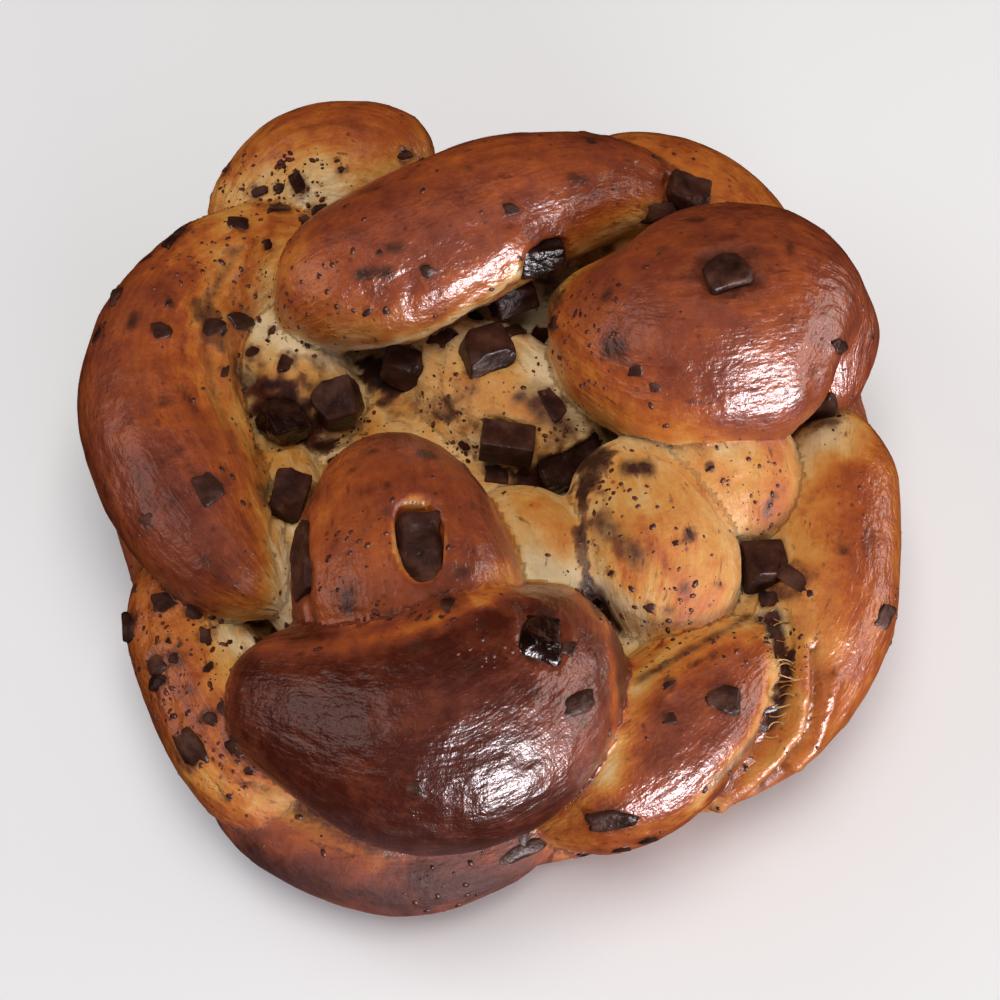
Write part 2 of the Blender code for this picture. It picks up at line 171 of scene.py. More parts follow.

# Strokes over the skin as the photograph shows them: (what, how much, radius, pixels). "bake" adds
# browning, and on two strokes painted shade; "wash" the gloss of egg wash; "stain" melted chocolate,
# and on strokes along creases and slits painted shade in its colour; "shade" painted shade in deep
# folds, slits and grooves, and on other strokes the dark of chocolate just under the skin and of
# chocolate pooled beside a chunk; "stretch" pulled streaks, "relief" millimetres of height and
# "tear" millimetres of rough crumb. A stroke is half as strong at its radius as along its middle.
STROKES = {
    "top_centre_flank": ("bake", -0.18, 5, (
        (276, 335), (330, 352), (390, 338), (440, 308), (480, 282), (520, 262))),
    "top_centre_cream": ("bake", -0.42, 1.9, (
        (270, 322), (290, 338), (330, 350), (390, 346), (440, 326), (486, 302), (520, 270))),
    "top_centre_left_end": ("bake", -0.14, 4, ((262, 320), (272, 285), (296, 250))),
    "top_centre_back": ("bake", -0.06, 8, ((330, 200), (420, 160), (520, 148))),
    "top_centre_lip": ("relief", 1.1, 2.0, ((395, 345), (440, 318), (480, 290), (512, 268))),
    "top_centre_pillow": ("relief", 2.5, 6, ((400, 325), (440, 300), (480, 272), (515, 250))),
    "top_centre_red": ("bake", 0.10, 5, ((380, 290), (430, 285), (470, 262))),
    "top_right_rim": ("bake", -0.22, 6, ((548, 372), (580, 405), (630, 425), (690, 438))),
    "top_right_rim_right": ("bake", -0.14, 4, ((690, 440), (740, 442), (800, 430))),
    "top_right_left_flank": ("bake", -0.12, 6, ((548, 300), (540, 335), (560, 370))),
    "top_right_pillow": ("relief", 2.2, 8, ((650, 425), (700, 428), (770, 420), (840, 395))),
    "left_inner_side": ("bake", -0.20, 8, (
        (235, 215), (215, 260), (208, 310), (215, 370), (240, 430), (266, 500), (284, 560),
        (288, 600))),
    "left_inner_stretch": ("stretch", 0.35, 12, (
        (235, 215), (205, 270), (190, 330), (200, 400), (235, 470), (268, 540))),
    "left_top_end": ("bake", -0.18, 8, ((225, 215), (270, 200), (320, 190))),
    "left_groove_a": ("relief", -0.7, 1.4, ((228, 232), (196, 290), (188, 350), (206, 410))),
    "left_groove_b": ("relief", -0.6, 1.2, ((214, 236), (176, 300), (172, 360))),
    "left_groove_c": ("relief", -0.8, 1.4, ((262, 210), (226, 262), (216, 310))),
    "front_rim_left": ("bake", -0.26, 2.2, (
        (245, 644), (300, 650), (360, 645), (420, 628), (480, 602))),
    "front_rim_top": ("bake", -0.30, 4, ((490, 596), (530, 578), (566, 584), (596, 612))),
    "front_rim_right": ("bake", -0.32, 2.4, ((602, 620), (612, 660), (616, 720), (608, 780))),
    "front_right_shoulder": ("bake", -0.14, 9, ((560, 660), (588, 700), (590, 750))),
    # Painted shade: browning added to darken the bottom of the front dome.
    "front_bottom_shade": ("bake", 0.12, 10, ((330, 780), (400, 820), (470, 830))),
    "front_pillow": ("relief", 1.4, 9, ((500, 810), (560, 790), (595, 740))),
    "inner_left_rim_right": ("bake", -0.12, 4, (
        (400, 425), (440, 442), (480, 480), (505, 520), (516, 556))),
    "inner_left_rim_left": ("bake", -0.14, 5, ((340, 450), (322, 500), (322, 560), (332, 615))),
    "inner_left_foot": ("bake", -0.22, 4, ((350, 630), (420, 618), (470, 594), (508, 572))),
    "inner_left_orange": ("bake", -0.10, 6, ((390, 600), (370, 560), (366, 520))),
    "inner_small_toast": ("bake", 0.16, 4, ((528, 515), (555, 520), (562, 540))),
    "inner_right_toast": ("bake", 0.16, 8, ((650, 550), (680, 575), (696, 605))),
    "inner_right_streak_a": ("bake", 0.13, 1.2, ((640, 520), (662, 560), (690, 600))),
    "inner_right_streak_b": ("bake", 0.12, 1.3, ((612, 540), (628, 580), (652, 620), (660, 650))),
    "inner_right_streak_c": ("bake", 0.12, 1.0, ((655, 450), (690, 480), (715, 510))),
    "inner_right_stretch": ("stretch", 0.35, 10, ((620, 500), (650, 560), (680, 620))),
    "inner_right_crease": ("relief", -0.8, 1.2, ((652, 448), (690, 474), (712, 500), (740, 540))),
    "inner_back_toast": ("bake", 0.16, 5, ((772, 440), (792, 462), (782, 500), (768, 520))),
    "right_top_pale": ("bake", -0.26, 4, ((830, 432), (850, 445), (858, 420))),
    "right_inner_side": ("bake", -0.15, 6, ((810, 450), (795, 520), (800, 570), (815, 640))),
    "front_right_pale_band": ("bake", -0.24, 4.5, (
        (626, 690), (660, 668), (700, 645), (740, 624), (758, 614))),
    "torn_cream": ("bake", -0.22, 2.6, ((780, 606), (786, 640), (790, 680), (784, 715))),
    "torn_crumb": ("tear", 2.0, 3.6, ((778, 612), (786, 645), (788, 690), (782, 725))),
    "low_left_crumb": ("tear", 0.7, 7, ((150, 610), (175, 670), (205, 730), (250, 785))),
    "low_left_crease_crumb": ("tear", 0.6, 4, ((215, 600), (222, 650), (224, 700))),
    "back_left_crumb": ("tear", 0.6, 4, ((205, 205), (250, 190), (300, 182))),
    "left_fold_crumb": ("tear", 0.6, 4, ((262, 250), (226, 300), (235, 370), (262, 440))),
    "valley_crumb": ("tear", 0.7, 9, ((285, 400), (340, 410), (400, 390), (450, 410), (520, 430))),
    "right_outer_blush": ("bake", 0.10, 9, ((865, 500), (872, 560), (866, 640))),
    "front_right_torn_edge": ("bake", -0.38, 2.2, (
        (768, 622), (776, 660), (768, 700), (750, 742), (722, 775), (694, 808))),
    "front_right_crown": ("bake", 0.10, 9, ((640, 760), (680, 740), (715, 700))),
    "front_right_left_side": ("bake", -0.14, 4, ((628, 690), (628, 740), (622, 780))),
    "front_right_pillow": ("relief", 1.6, 7, ((605, 805), (660, 796), (700, 782), (735, 748))),
    "pale_right_stretch": ("stretch", 0.3, 8, ((630, 670), (700, 640), (760, 610))),
    "low_left_crease": ("bake", -0.22, 4, ((226, 600), (226, 640), (228, 690))),
    "low_left_foot": ("bake", -0.10, 5, ((190, 770), (235, 786), (275, 800))),
    "low_left_tears": ("stretch", 0.5, 7, ((165, 700), (195, 735), (230, 775))),
    "low_front_orange": ("bake", -0.12, 4, ((270, 806), (320, 836), (380, 866))),
    "low_front_dark": ("bake", 0.26, 6, ((250, 860), (320, 892), (400, 905))),
    # Painted shade: browning added to darken the right end of the low front strand.
    "low_front_end_shade": ("bake", 0.30, 6, ((430, 888), (470, 888), (510, 882))),
    "top_centre_glow": ("bake", -0.16, 8, ((300, 262), (308, 300), (345, 325))),
    "top_centre_orange": ("bake", -0.13, 5, ((330, 330), (360, 320), (384, 304), (400, 292))),
    "top_right_glow": ("bake", -0.10, 8, ((560, 300), (575, 345), (610, 385))),
    "front_lower_edge": ("bake", -0.12, 3, ((540, 848), (600, 838), (660, 825), (720, 806))),
    "back_left_foot": ("bake", -0.16, 5, ((215, 196), (265, 192), (330, 178))),
    "back_left_stretch": ("stretch", 0.4, 8, ((220, 190), (280, 175), (340, 165))),
    "back_left_top": ("bake", 0.10, 8, ((290, 112), (350, 110), (400, 125))),
    "strip_groove_a": ("relief", -1.0, 1.3, ((300, 455), (288, 505), (298, 560), (312, 620))),
    "strip_groove_b": ("relief", -0.8, 1.1, ((280, 480), (272, 540), (288, 600))),
    "pale_left_fold_a": ("relief", -1.0, 1.6, ((236, 372), (262, 402), (272, 450))),
    "pale_left_fold_b": ("relief", -0.9, 1.4, ((255, 330), (282, 352), (320, 378), (352, 384))),
    "pale_back_fold": ("relief", -1.0, 1.6, ((440, 352), (430, 390), (452, 424))),
    "pale_strip_paleness": ("stretch", 0.5, 6, ((290, 490), (290, 560), (308, 630))),
    "left_inner_gold": ("bake", -0.12, 5, ((226, 270), (214, 320), (222, 372), (244, 430))),
    "left_inner_ridge": ("relief", 1.0, 2.2, (
        (246, 240), (222, 290), (216, 335), (228, 390), (252, 440))),
    "left_inner_valley": ("relief", -1.0, 1.4, (
        (236, 252), (210, 300), (204, 345), (214, 395), (238, 450))),
    # Painted shade along the left inner valley.
    "left_inner_valley_shade": ("shade", 0.42, 0.9, (
        (236, 252), (210, 300), (204, 345), (214, 395), (238, 450))),
    # Painted shade in the curved slit on the left strand.
    "curved_slit_shade": ("shade", 0.60, 0.8, ((183, 388), (190, 402), (200, 414))),
    "back_left_lines": ("shade", 0.30, 0.9, ((300, 128), (340, 122), (384, 134))),
    "left_lower_bake": ("bake", 0.16, 8, ((150, 470), (170, 520), (205, 560), (240, 585))),
    "slit_gold": ("bake", 0.12, 4, ((790, 640), (786, 690), (768, 745), (715, 795))),
    "low_front_dry": ("wash", -0.9, 9, ((330, 890), (390, 892), (450, 888), (510, 880))),
    "front_bottom_dry": ("wash", -0.7, 9, ((280, 790), (340, 830), (400, 852), (470, 858))),
    "inner_right_dry": ("wash", -1.0, 12, ((650, 540), (690, 590), (660, 640))),
    "inner_back_dry": ("wash", -1.0, 8, ((770, 450), (790, 490), (780, 520))),
    "top_centre_lip_wash": ("wash", 0.9, 4, ((400, 338), (440, 314), (480, 286), (514, 262))),
    "top_right_rim_wash": ("wash", 0.7, 5, ((680, 428), (740, 432), (800, 420), (842, 392))),
    "slit_shadow": ("shade", 1.2, 1.7, ((772, 618), (778, 648), (782, 672))),
    "slit_shadow_middle": ("shade", 1.2, 1.6, ((786, 668), (782, 690), (775, 712), (764, 730))),
    "slit_shadow_low": ("shade", 0.45, 1.4, ((768, 716), (752, 742), (730, 768), (706, 790))),
    "slit_outer_shadow": ("shade", 0.38, 1.0, (
        (812, 650), (814, 690), (806, 730), (786, 762), (756, 790))),
    # Painted shade along the crease at the top of the front right strand.
    "crease_inner_right_shade": ("shade", 0.60, 1.0, ((640, 680), (690, 650), (730, 628), (752, 614))),
    "dough_shadow_middle": ("shade", 0.55, 2.2, ((598, 522), (612, 534), (628, 548), (640, 560))),
    "dough_shadow_low": ("shade", 0.50, 1.8, ((600, 590), (608, 612), (622, 632))),
    "slit_groove": ("relief", -2.8, 2.6, (
        (784, 628), (786, 668), (778, 706), (762, 745), (730, 782))),
    "ridge_inner": ("relief", 2.0, 1.8, (
        (802, 655), (803, 700), (798, 728), (775, 757), (745, 786), (716, 806))),
    "groove_between": ("relief", -2.0, 1.4, (
        (814, 650), (815, 695), (808, 735), (784, 767), (752, 793))),
    "ridge_outer": ("relief", 1.6, 1.9, ((834, 682), (824, 715), (812, 745), (793, 767))),
    "ridge_paleness": ("bake", -0.16, 2.0, ((803, 700), (798, 728), (775, 757), (745, 786))),
    "hook_groove": ("relief", -0.7, 1.2, ((744, 480), (750, 476), (753, 495), (750, 522))),
    "tear_a": ("relief", -0.8, 1.0, ((168, 708), (190, 732), (214, 756))),
    "tear_b": ("relief", -0.9, 1.0, ((174, 722), (196, 748), (226, 775), (268, 788))),
    "tear_ridge": ("relief", 0.7, 1.0, ((162, 704), (184, 730), (208, 755), (238, 776))),
    "curved_slit": ("relief", -0.7, 0.9, ((183, 388), (190, 402), (200, 414))),
    "fold_of_top_end": ("relief", -0.8, 1.4, ((640, 168), (668, 184), (690, 210))),
    # Melted chocolate and painted shade, in its colour, in the middle crevice and on the flank beside
    # it.
    "crevice_middle_stain_and_shade": ("stain", 0.85, 2.0, (
        (586, 478), (581, 505), (582, 540), (587, 585), (600, 620))),
    "crevice_shade": ("stain", 0.36, 2.6, ((600, 520), (618, 545), (632, 565))),
    "stain_middle": ("stain", 1.00, 5.5, (
        (524, 484), (545, 478), (575, 462), (590, 458), (588, 480))),
    "stain_under_top": ("stain", 1.00, 5, ((366, 372), (384, 376), (400, 384))),
    "pool_under_top": ("shade", 0.95, 4, ((374, 374), (388, 378), (398, 386))),
    "stain_below_under_top": ("stain", 0.42, 4.5, ((400, 408), (440, 412))),
    "stain_pale_back": ("stain", 0.46, 3.4, ((470, 380), (462, 396), (450, 412), (470, 420))),
    "stain_left_shadow": ("stain", 0.95, 6, ((276, 404), (290, 420), (302, 436))),
    "pool_left_shadow": ("shade", 0.85, 4.5, ((276, 398), (284, 410), (296, 432), (310, 440))),
    "pool_middle": ("shade", 0.95, 4, ((534, 480), (556, 470), (580, 462))),
    "pool_far_left": ("shade", 0.60, 3, ((236, 372), (248, 386), (262, 398))),
    "pool_top_right": ("shade", 0.60, 3.4, ((536, 398), (546, 412), (566, 432))),
    "stain_left_block": ("stain", 0.45, 6, ((304, 400), (340, 420), (330, 440))),
    "stain_left_strip": ("stain", 0.50, 4.2, ((282, 490), (290, 505), (284, 520))),
    "stain_sliver": ("stain", 0.50, 3.0, ((308, 540), (304, 570), (310, 600))),
    "stain_crowns": ("stain", 0.70, 4, ((536, 250), (552, 284), (556, 310))),
    "stain_blend": ("stain", 0.45, 3, ((318, 362), (346, 362))),
    "stain_left_fold": ("stain", 0.70, 3.4, ((205, 305), (215, 340))),
    "stain_low_left": ("stain", 0.50, 3.0, ((156, 655), (162, 680), (172, 662))),
    "stain_square": ("stain", 0.50, 3.0, ((742, 575), (770, 600), (796, 585))),
    # Painted shade down the torn slit, in the colour of melted chocolate.
    "torn_slit_shade": ("stain", 0.55, 1.4, ((777, 640), (782, 672), (776, 700))),
    "streak_left_top": ("stain", 0.50, 1.0, ((226, 253), (250, 247))),
    # Painted shade in the slit of the front right strand, in the colour of melted chocolate.
    "front_right_slit_shade": ("stain", 0.60, 1.3, ((690, 666), (720, 652))),
    # Painted shade in the colour of melted chocolate: in the gap and the crease under the front dome,
    # and along a crease at the low left.
    "shade_line_under_dome": ("stain", 0.55, 1.6, ((300, 808), (340, 838), (400, 856))),
    "shade_under_dome": ("stain", 0.45, 2.5, ((420, 868), (460, 866))),
    "low_left_crease_shade": ("stain", 0.50, 0.8, ((232, 779), (270, 790))),
}

# How gradually a stroke of each kind fades, as a share of its radius.
SOFTNESS = {"bake": 1.0, "stretch": 1.0, "relief": 0.8, "tear": 0.8, "stain": 0.5, "shade": 0.9,
            "wash": 1.0}
TEAR_GRAIN = 2.2

# The uneven edge of strokes and stains: its grain, how far it swings, and how much more it swings on
# a stain.
RAGGED_GRAIN = 3.0
RAGGED_SWING = 1.6
STAIN_RAGGEDNESS = 1.8

# Chips just under the skin that darken it: (pixel x, pixel y, length, width, turn, how dark).
STAINS = (
    (370, 190, 5.6, 2.1, 10, 0.6), (470, 168, 2.8, 2.1, 0, 0.5), (577, 177, 5.1, 2.8, -10, 0.6),
    (395, 247, 4.6, 2.1, 0, 0.6), (375, 273, 9.3, 2.8, 5, 0.8), (605, 297, 3.7, 3.0, 0, 0.7),
    (615, 347, 7.0, 5.1, 0, 0.85), (608, 250, 2.8, 2.3, 0, 0.6), (695, 220, 5.1, 2.3, 0, 0.6),
    (790, 248, 3.7, 1.9, 90, 0.5), (165, 400, 3.2, 2.8, 90, 0.6), (205, 560, 3.2, 3.0, 0, 0.6),
    (105, 493, 3.2, 2.3, 90, 0.5), (427, 454, 5.2, 3.4, -5, 0.85), (463, 573, 3.3, 3.2, 0, 0.6),
    (262, 365, 2.6, 2.2, 0, 0.5), (372, 452, 3.0, 2.2, 20, 0.6), (352, 470, 2.2, 2.0, 0, 0.5),
    (468, 372, 2.4, 2.0, 0, 0.7), (520, 396, 3.4, 2.4, 40, 0.7), (500, 420, 2.8, 2.2, 0, 0.6),
    (347, 600, 7.0, 4.6, 80, 0.6), (263, 495, 7.0, 3.2, -70, 0.55), (178, 662, 3.3, 3.2, 0, 0.7),
    (190, 690, 3.3, 2.8, 0, 0.6), (228, 798, 2.0, 1.9, 0, 0.6), (417, 645, 3.7, 2.8, 0, 0.6),
    (300, 655, 2.4, 1.4, 0, 0.5), (308, 722, 2.8, 1.9, 90, 0.4), (470, 667, 3.2, 2.8, 0, 0.4),
    (480, 625, 3.4, 1.9, 0, 0.4), (668, 611, 2.6, 2.4, 0, 0.6), (844, 551, 2.3, 2.2, 0, 0.6),
    (843, 540, 2.0, 1.6, 0, 0.4), (685, 588, 2.4, 2.3, 0, 0.5), (637, 467, 7.6, 4.6, -6, 0.8),
    (132, 320, 5.1, 2.8, 80, 0.6), (388, 485, 2.0, 1.6, 90, 0.7), (385, 510, 2.4, 1.9, 90, 0.5),
    (472, 505, 2.4, 1.9, 90, 0.5), (410, 616, 2.4, 2.3, 0, 0.6), (390, 617, 3.7, 3.2, 0, 0.5),
    (537, 805, 4.0, 3.2, 0, 0.5), (545, 622, 7.0, 4.5, 50, 0.7), (535, 652, 6.5, 4.6, 10, 0.7),
    (768, 508, 4.6, 1.9, 80, 0.6), (775, 496, 2.3, 1.4, 0, 0.5), (868, 540, 6.0, 3.2, 80, 0.35),
    (537, 400, 4.0, 2.6, 60, 0.5), (780, 590, 7.5, 3.0, -35, 0.6), (568, 648, 3.2, 3.0, 0, 0.5),
    (690, 272, 4.6, 2.0, 30, 0.35), (660, 250, 3.0, 2.0, 0, 0.3), (330, 240, 3.6, 2.2, 20, 0.35),
    (130, 420, 2.6, 2.0, 60, 0.4), (180, 450, 2.2, 1.8, 0, 0.4), (600, 850, 3.0, 2.0, 0, 0.4),
    (729, 272, 13.0, 12.0, 0, 0.75),
)

# Chips that stand out of the skin: (pixel x, pixel y, length, width, turn).
CHIPS = (
    (112, 294, 4.5, 3.4, 70), (167, 226, 8.0, 2.6, 62), (98, 335, 6.5, 2.0, 80),
    (146, 259, 4.6, 1.8, 20), (222, 163, 3.0, 2.0, 40), (162, 330, 3.8, 3.6, 10),
    (170, 302, 3.6, 1.6, 80), (192, 267, 1.9, 1.2, 0), (213, 327, 5.8, 5.0, 45),
    (208, 309, 1.5, 1.3, 0), (241, 320, 4.8, 3.6, 25), (253, 352, 3.8, 3.0, -10),
    (287, 361, 3.7, 2.8, 80), (272, 330, 2.3, 1.5, 80), (308, 345, 2.0, 1.8, 0),
    (225, 371, 2.8, 1.3, 80), (240, 224, 4.7, 2.8, -15), (268, 246, 3.0, 2.7, 20),
    (279, 207, 4.7, 3.0, 10), (299, 187, 6.2, 2.8, -65), (278, 187, 2.8, 2.2, 0),
    (255, 193, 5.5, 2.0, 15), (305, 219, 2.8, 1.9, 30), (338, 160, 1.9, 1.4, 0),
    (342, 170, 2.8, 1.9, 20), (405, 155, 4.7, 2.8, 25), (590, 142, 5.6, 1.6, -8),
    (512, 210, 3.3, 2.6, 10), (380, 253, 2.3, 1.6, 0), (428, 272, 4.3, 3.3, 15),
    (367, 312, 2.8, 1.9, 10), (386, 311, 2.1, 1.8, 0), (375, 339, 1.2, 1.1, 0),
    (551, 269, 11.0, 5.0, 5), (520, 258, 1.5, 1.4, 0), (470, 318, 4.7, 4.5, 20),
    (442, 338, 5.1, 4.6, 60), (515, 330, 4.6, 3.2, 20), (540, 335, 4.2, 3.7, 60),
    (553, 324, 3.2, 2.8, 0), (635, 370, 2.8, 2.3, 0), (552, 401, 7.5, 4.0, -60),
    (661, 215, 9.8, 4.2, 3), (720, 204, 1.3, 1.1, 0), (735, 204, 1.3, 1.1, 0),
    (657, 157, 3.7, 1.9, 10), (840, 345, 3.3, 3.0, 30), (872, 337, 2.3, 1.2, 90),
    (655, 388, 2.3, 1.9, 0), (209, 487, 6.5, 5.0, -60), (147, 520, 3.7, 3.2, 60),
    (308, 536, 6.5, 2.8, 85), (165, 602, 6.0, 4.0, 8), (195, 613, 6.4, 3.6, 80),
    (213, 627, 1.7, 1.5, 0), (205, 638, 3.6, 3.0, -30), (130, 625, 6.0, 3.4, -75),
    (124, 590, 2.3, 1.2, 90), (156, 660, 4.6, 3.8, -60), (210, 668, 2.4, 2.3, 0),
    (173, 658, 3.2, 3.0, 0), (160, 680, 5.6, 3.6, 15), (180, 645, 1.8, 1.4, 0),
    (168, 640, 1.6, 1.2, 0), (223, 708, 3.0, 2.4, -40), (208, 718, 4.0, 3.3, 0),
    (236, 750, 4.8, 4.0, -60), (248, 770, 2.8, 2.3, 0), (235, 739, 2.8, 1.5, 0),
    (187, 750, 9.0, 5.5, -60), (495, 472, 5.2, 4.8, 0), (466, 446, 3.2, 2.2, -40),
    (447, 603, 3.8, 3.4, 60), (460, 597, 2.4, 1.6, 10), (427, 618, 1.9, 1.0, 0),
    (590, 592, 3.8, 2.6, -30), (568, 648, 2.8, 2.4, 60), (577, 707, 9.0, 4.8, 14),
    (415, 787, 3.4, 2.6, 0), (520, 850, 12.0, 4.2, 22), (588, 857, 5.5, 2.2, 10),
    (648, 840, 5.5, 2.6, 15), (620, 849, 4.0, 1.5, 5), (612, 820, 9.5, 3.8, 12),
    (725, 700, 6.8, 5.0, -20), (818, 413, 6.8, 4.4, 35), (710, 467, 2.4, 1.8, 10),
    (690, 535, 3.8, 1.5, -70), (677, 543, 1.9, 1.1, 20), (650, 607, 2.4, 1.8, -20),
    (720, 585, 1.9, 1.2, 90), (797, 580, 8.5, 3.4, -38), (772, 598, 4.6, 3.0, 0),
    (762, 620, 3.3, 1.3, -10), (668, 685, 4.5, 1.6, 30), (668, 718, 3.0, 2.0, 10),
    (885, 617, 5.0, 3.6, 60), (790, 655, 3.0, 2.2, 60), (714, 809, 2.0, 1.2, 10),
    (612, 573, 1.9, 1.5, 0),
)

# Threads of dough that still bridge the tear beside the front right strand: (from pixel, to pixel).
THREADS = (
    ((770, 612), (788, 610)), ((772, 618), (790, 622)), ((773, 626), (787, 622)),
    ((775, 640), (790, 646)), ((777, 655), (793, 660)), ((776, 661), (794, 664)),
    ((777, 668), (792, 666)), ((778, 674), (797, 680)), ((779, 682), (803, 679)),
    ((780, 688), (797, 692)), ((778, 698), (794, 696)), ((776, 708), (791, 704)),
    ((769, 716), (787, 712)), ((768, 728), (784, 724)), ((764, 736), (778, 736)),
    ((786, 652), (796, 672)), ((790, 676), (792, 700)), ((784, 690), (788, 712)),
    ((797, 676), (800, 694)),
)
THREAD_RADIUS = 0.24
THREAD_RADIUS_SHARES = (0.6, 1.2)
THREAD_MOST_BEND = 1.2
THREAD_ARCH = 0.3
THREAD_SINK = 0.2
THREAD_SIDES = 6
THREAD_RINGS = 9

# Chips: how many shapes they share, how much larger than listed they are, how deep they go and how
# proud they stand, how they were chopped, how they lean, and the stain and rim of dough round them.
CHIP_KINDS = 8
CHIP_SHARE = 1.12
CHIP_DEPTH_SHARE = 0.7
CHIP_PROUD_SHARE = 0.20
CHIP_DEEPEST = 4.0
CHIP_CUTS = 8
CHIP_EDGE_SHARE = 0.07
CHIP_LEAN = 0.25
CHIP_STAIN = 0.56
CHIP_RIM = 0.25

# Chips on the sides that the photograph hides.
HIDDEN_CHIPS = 150
HIDDEN_CHIP_SIZES = (1.2, 7.0)
HIDDEN_CHIP_WIDTHS = (0.45, 0.95)
LOWEST_CHIP = 5

# Specks of chocolate dust and crumbs on the skin: flat grains, in patches where they are thin, and
# the drifts of them that the photograph shows as (pixel x, pixel y, radius, how many).
SPECKS = 2600
SPECK_SIZES = (0.3, 1.5)
SPECK_LONGEST_SHARE = 1.8
SPECK_THICKNESS_SHARE = 0.35
LOWEST_SPECK = 2
SPECK_PATCHES = 24
DRIFTS = (
    (165, 640, 14, 110), (190, 700, 12, 90), (228, 762, 8, 70), (255, 190, 12, 110),
    (300, 180, 8, 60), (225, 270, 14, 100), (270, 345, 12, 60), (460, 410, 13, 130),
    (350, 440, 10, 90), (580, 330, 14, 90), (560, 420, 8, 50), (385, 560, 16, 70),
    (640, 560, 18, 80), (760, 500, 10, 60), (786, 660, 7, 70), (450, 880, 12, 60),
    (700, 660, 12, 50), (610, 480, 6, 30), (330, 290, 14, 50), (480, 620, 12, 40),
)

# The burst blister in the inner left strand, as the CAD has it.
BLISTER_STRAND = "inner_left"
BLISTER_CENTRE = (-14, -34, 67)
BLISTER_HALF_SIZE = (6, 11.5, 8)
BLISTER_TURN = (12, 0, 4)
BLISTER_SIDES = 48
BLISTER_RINGS = 32

# The chocolate chunks, as the CAD has them: centre, size, and turn in degrees.
CHUNKS = {
    "chunk_back_pale": ((0, 26, 41), (11.5, 11, 9), (-20, 8, 20)),
    "chunk_left_block": ((-35, 15, 36), (10.5, 10.5, 9.5), (10, -15, 10)),
    "chunk_left_shadow": ((-48, 10, 36), (9, 10, 8), (0, 20, 30)),
    "chunk_under_top": ((-19, 28, 31), (12, 8, 8), (-15, 0, -12)),
    "chunk_middle_bar": ((5, 4, 37), (12.5, 8, 7), (-12, 6, -6)),
    "chunk_middle_melted": ((20, 1.5, 29.5), (14.5, 12, 9), (0, 0, 12)),
    "chunk_right_square": ((63, -27, 35), (10, 10, 8), (-12, 10, 8)),
    "chunk_blister": ((-14, -35.5, 60), (10, 17, 8), (12, 0, 4)),
    "chunk_far_back": ((48, 63, 53), (10, 8, 8), (0, 20, -8)),
    "chunk_right_crown": ((53, 26, 74.5), (10, 9, 5), (0, 2, 20)),
    "chunk_between_crowns": ((13, 45, 54), (11, 8, 8), (-25, 0, 8)),
    "chunk_crevice": ((6, 44, 40), (11, 9, 9), (-30, 0, 25)),
    "chunk_left_strip": ((-45, -12, 41), (8, 11, 7), (0, 12, -14)),
    "chunk_long_sliver": ((-38, -34, 52), (6, 17, 8), (-10, 30, 4)),
    "chunk_front_crown": ((10.5, -57, 62), (9, 12, 7), (-14, 24, -10)),
}

# How each chunk was chopped and how far it melted: (corners cut off, melting, lumps' height).
CHUNK_STATE = {
    "chunk_back_pale": (6, 0.25, 0.35),
    "chunk_left_block": (7, 0.35, 0.50),
    "chunk_left_shadow": (6, 0.90, 0.90),
    "chunk_under_top": (7, 0.70, 0.70),
    "chunk_middle_bar": (2, 0.12, 0.15),
    "chunk_middle_melted": (4, 1.00, 1.30),
    "chunk_right_square": (3, 0.10, 0.12),
    "chunk_blister": (14, 0.88, 1.10),
    "chunk_far_back": (6, 0.50, 0.50),
    "chunk_right_crown": (7, 0.60, 0.50),
    "chunk_between_crowns": (5, 1.00, 0.45),
    "chunk_crevice": (7, 0.45, 0.60),
    "chunk_left_strip": (6, 0.80, 0.80),
    "chunk_long_sliver": (6, 0.60, 0.60),
    "chunk_front_crown": (5, 1.00, 0.80),
}
MELTED_THROUGH = 0.9

# A chunk's mesh: its lumps as (size, share of their height), its cell, the round of its chopped
# edges and how much rounder they are once melted, and the turns of smoothing, likewise.
CHUNK_LUMPS = ((6.5, 1.0), (2.6, 0.4), (1.1, 0.15))
CHUNK_CELL = 0.32
CHOPPED_EDGE = 0.35
MELTED_EDGE_MORE = 0.9
CHOPPED_SMOOTHING = 2
MELTED_SMOOTHING_MORE = 14

# The pocket of dough that each chunk lies in.
POCKET_DEPTH = 1.1
POCKET_WIDTH = 1.1
POCKET_RIM = 0.35
POCKET_SQUARENESS = 4

# Seeds that keep the noises on the skin apart.
RIDGE_SEED = 10
TEAR_SEED = 20
RAGGED_SEED = 30
POCKET_SEED = 40
DRIFT_SEED = 50


# Modelling helpers.

def take(thing):
    """Selects one object alone and makes it the active one."""
    for other in bpy.context.selected_objects:
        other.select_set(False)
    thing.select_set(True)
    bpy.context.view_layer.objects.active = thing
    return thing


def apply_modifier(thing, kind, **settings):
    """Adds a modifier with its settings and applies it."""
    take(thing)
    modifier = thing.modifiers.new(kind.lower(), kind)
    for name, value in settings.items():
        setattr(modifier, name, value)
    bpy.ops.object.modifier_apply(modifier=modifier.name)


def join(things, name):
    """Joins meshes into the first one."""
    take(things[0])
    for other in things[1:]:
        other.select_set(True)
    bpy.ops.object.join()
    made = bpy.context.object
    made.name = name
    made.data.name = name
    return made


def read_points(thing):
    values = np.empty(len(thing.data.vertices) * 3, np.float32)
    thing.data.vertices.foreach_get("co", values)
    return values.reshape(-1, 3).astype(float)


def write_points(thing, points):
    thing.data.vertices.foreach_set("co", points.astype(np.float32).ravel())
    thing.data.update()


def read_normals(thing):
    values = np.empty(len(thing.data.vertices) * 3, np.float32)
    thing.data.vertices.foreach_get("normal", values)
    return values.reshape(-1, 3).astype(float)


def read_edges(thing):
    values = np.empty(len(thing.data.edges) * 2, np.int32)
    thing.data.edges.foreach_get("vertices", values)
    return values.reshape(-1, 2)


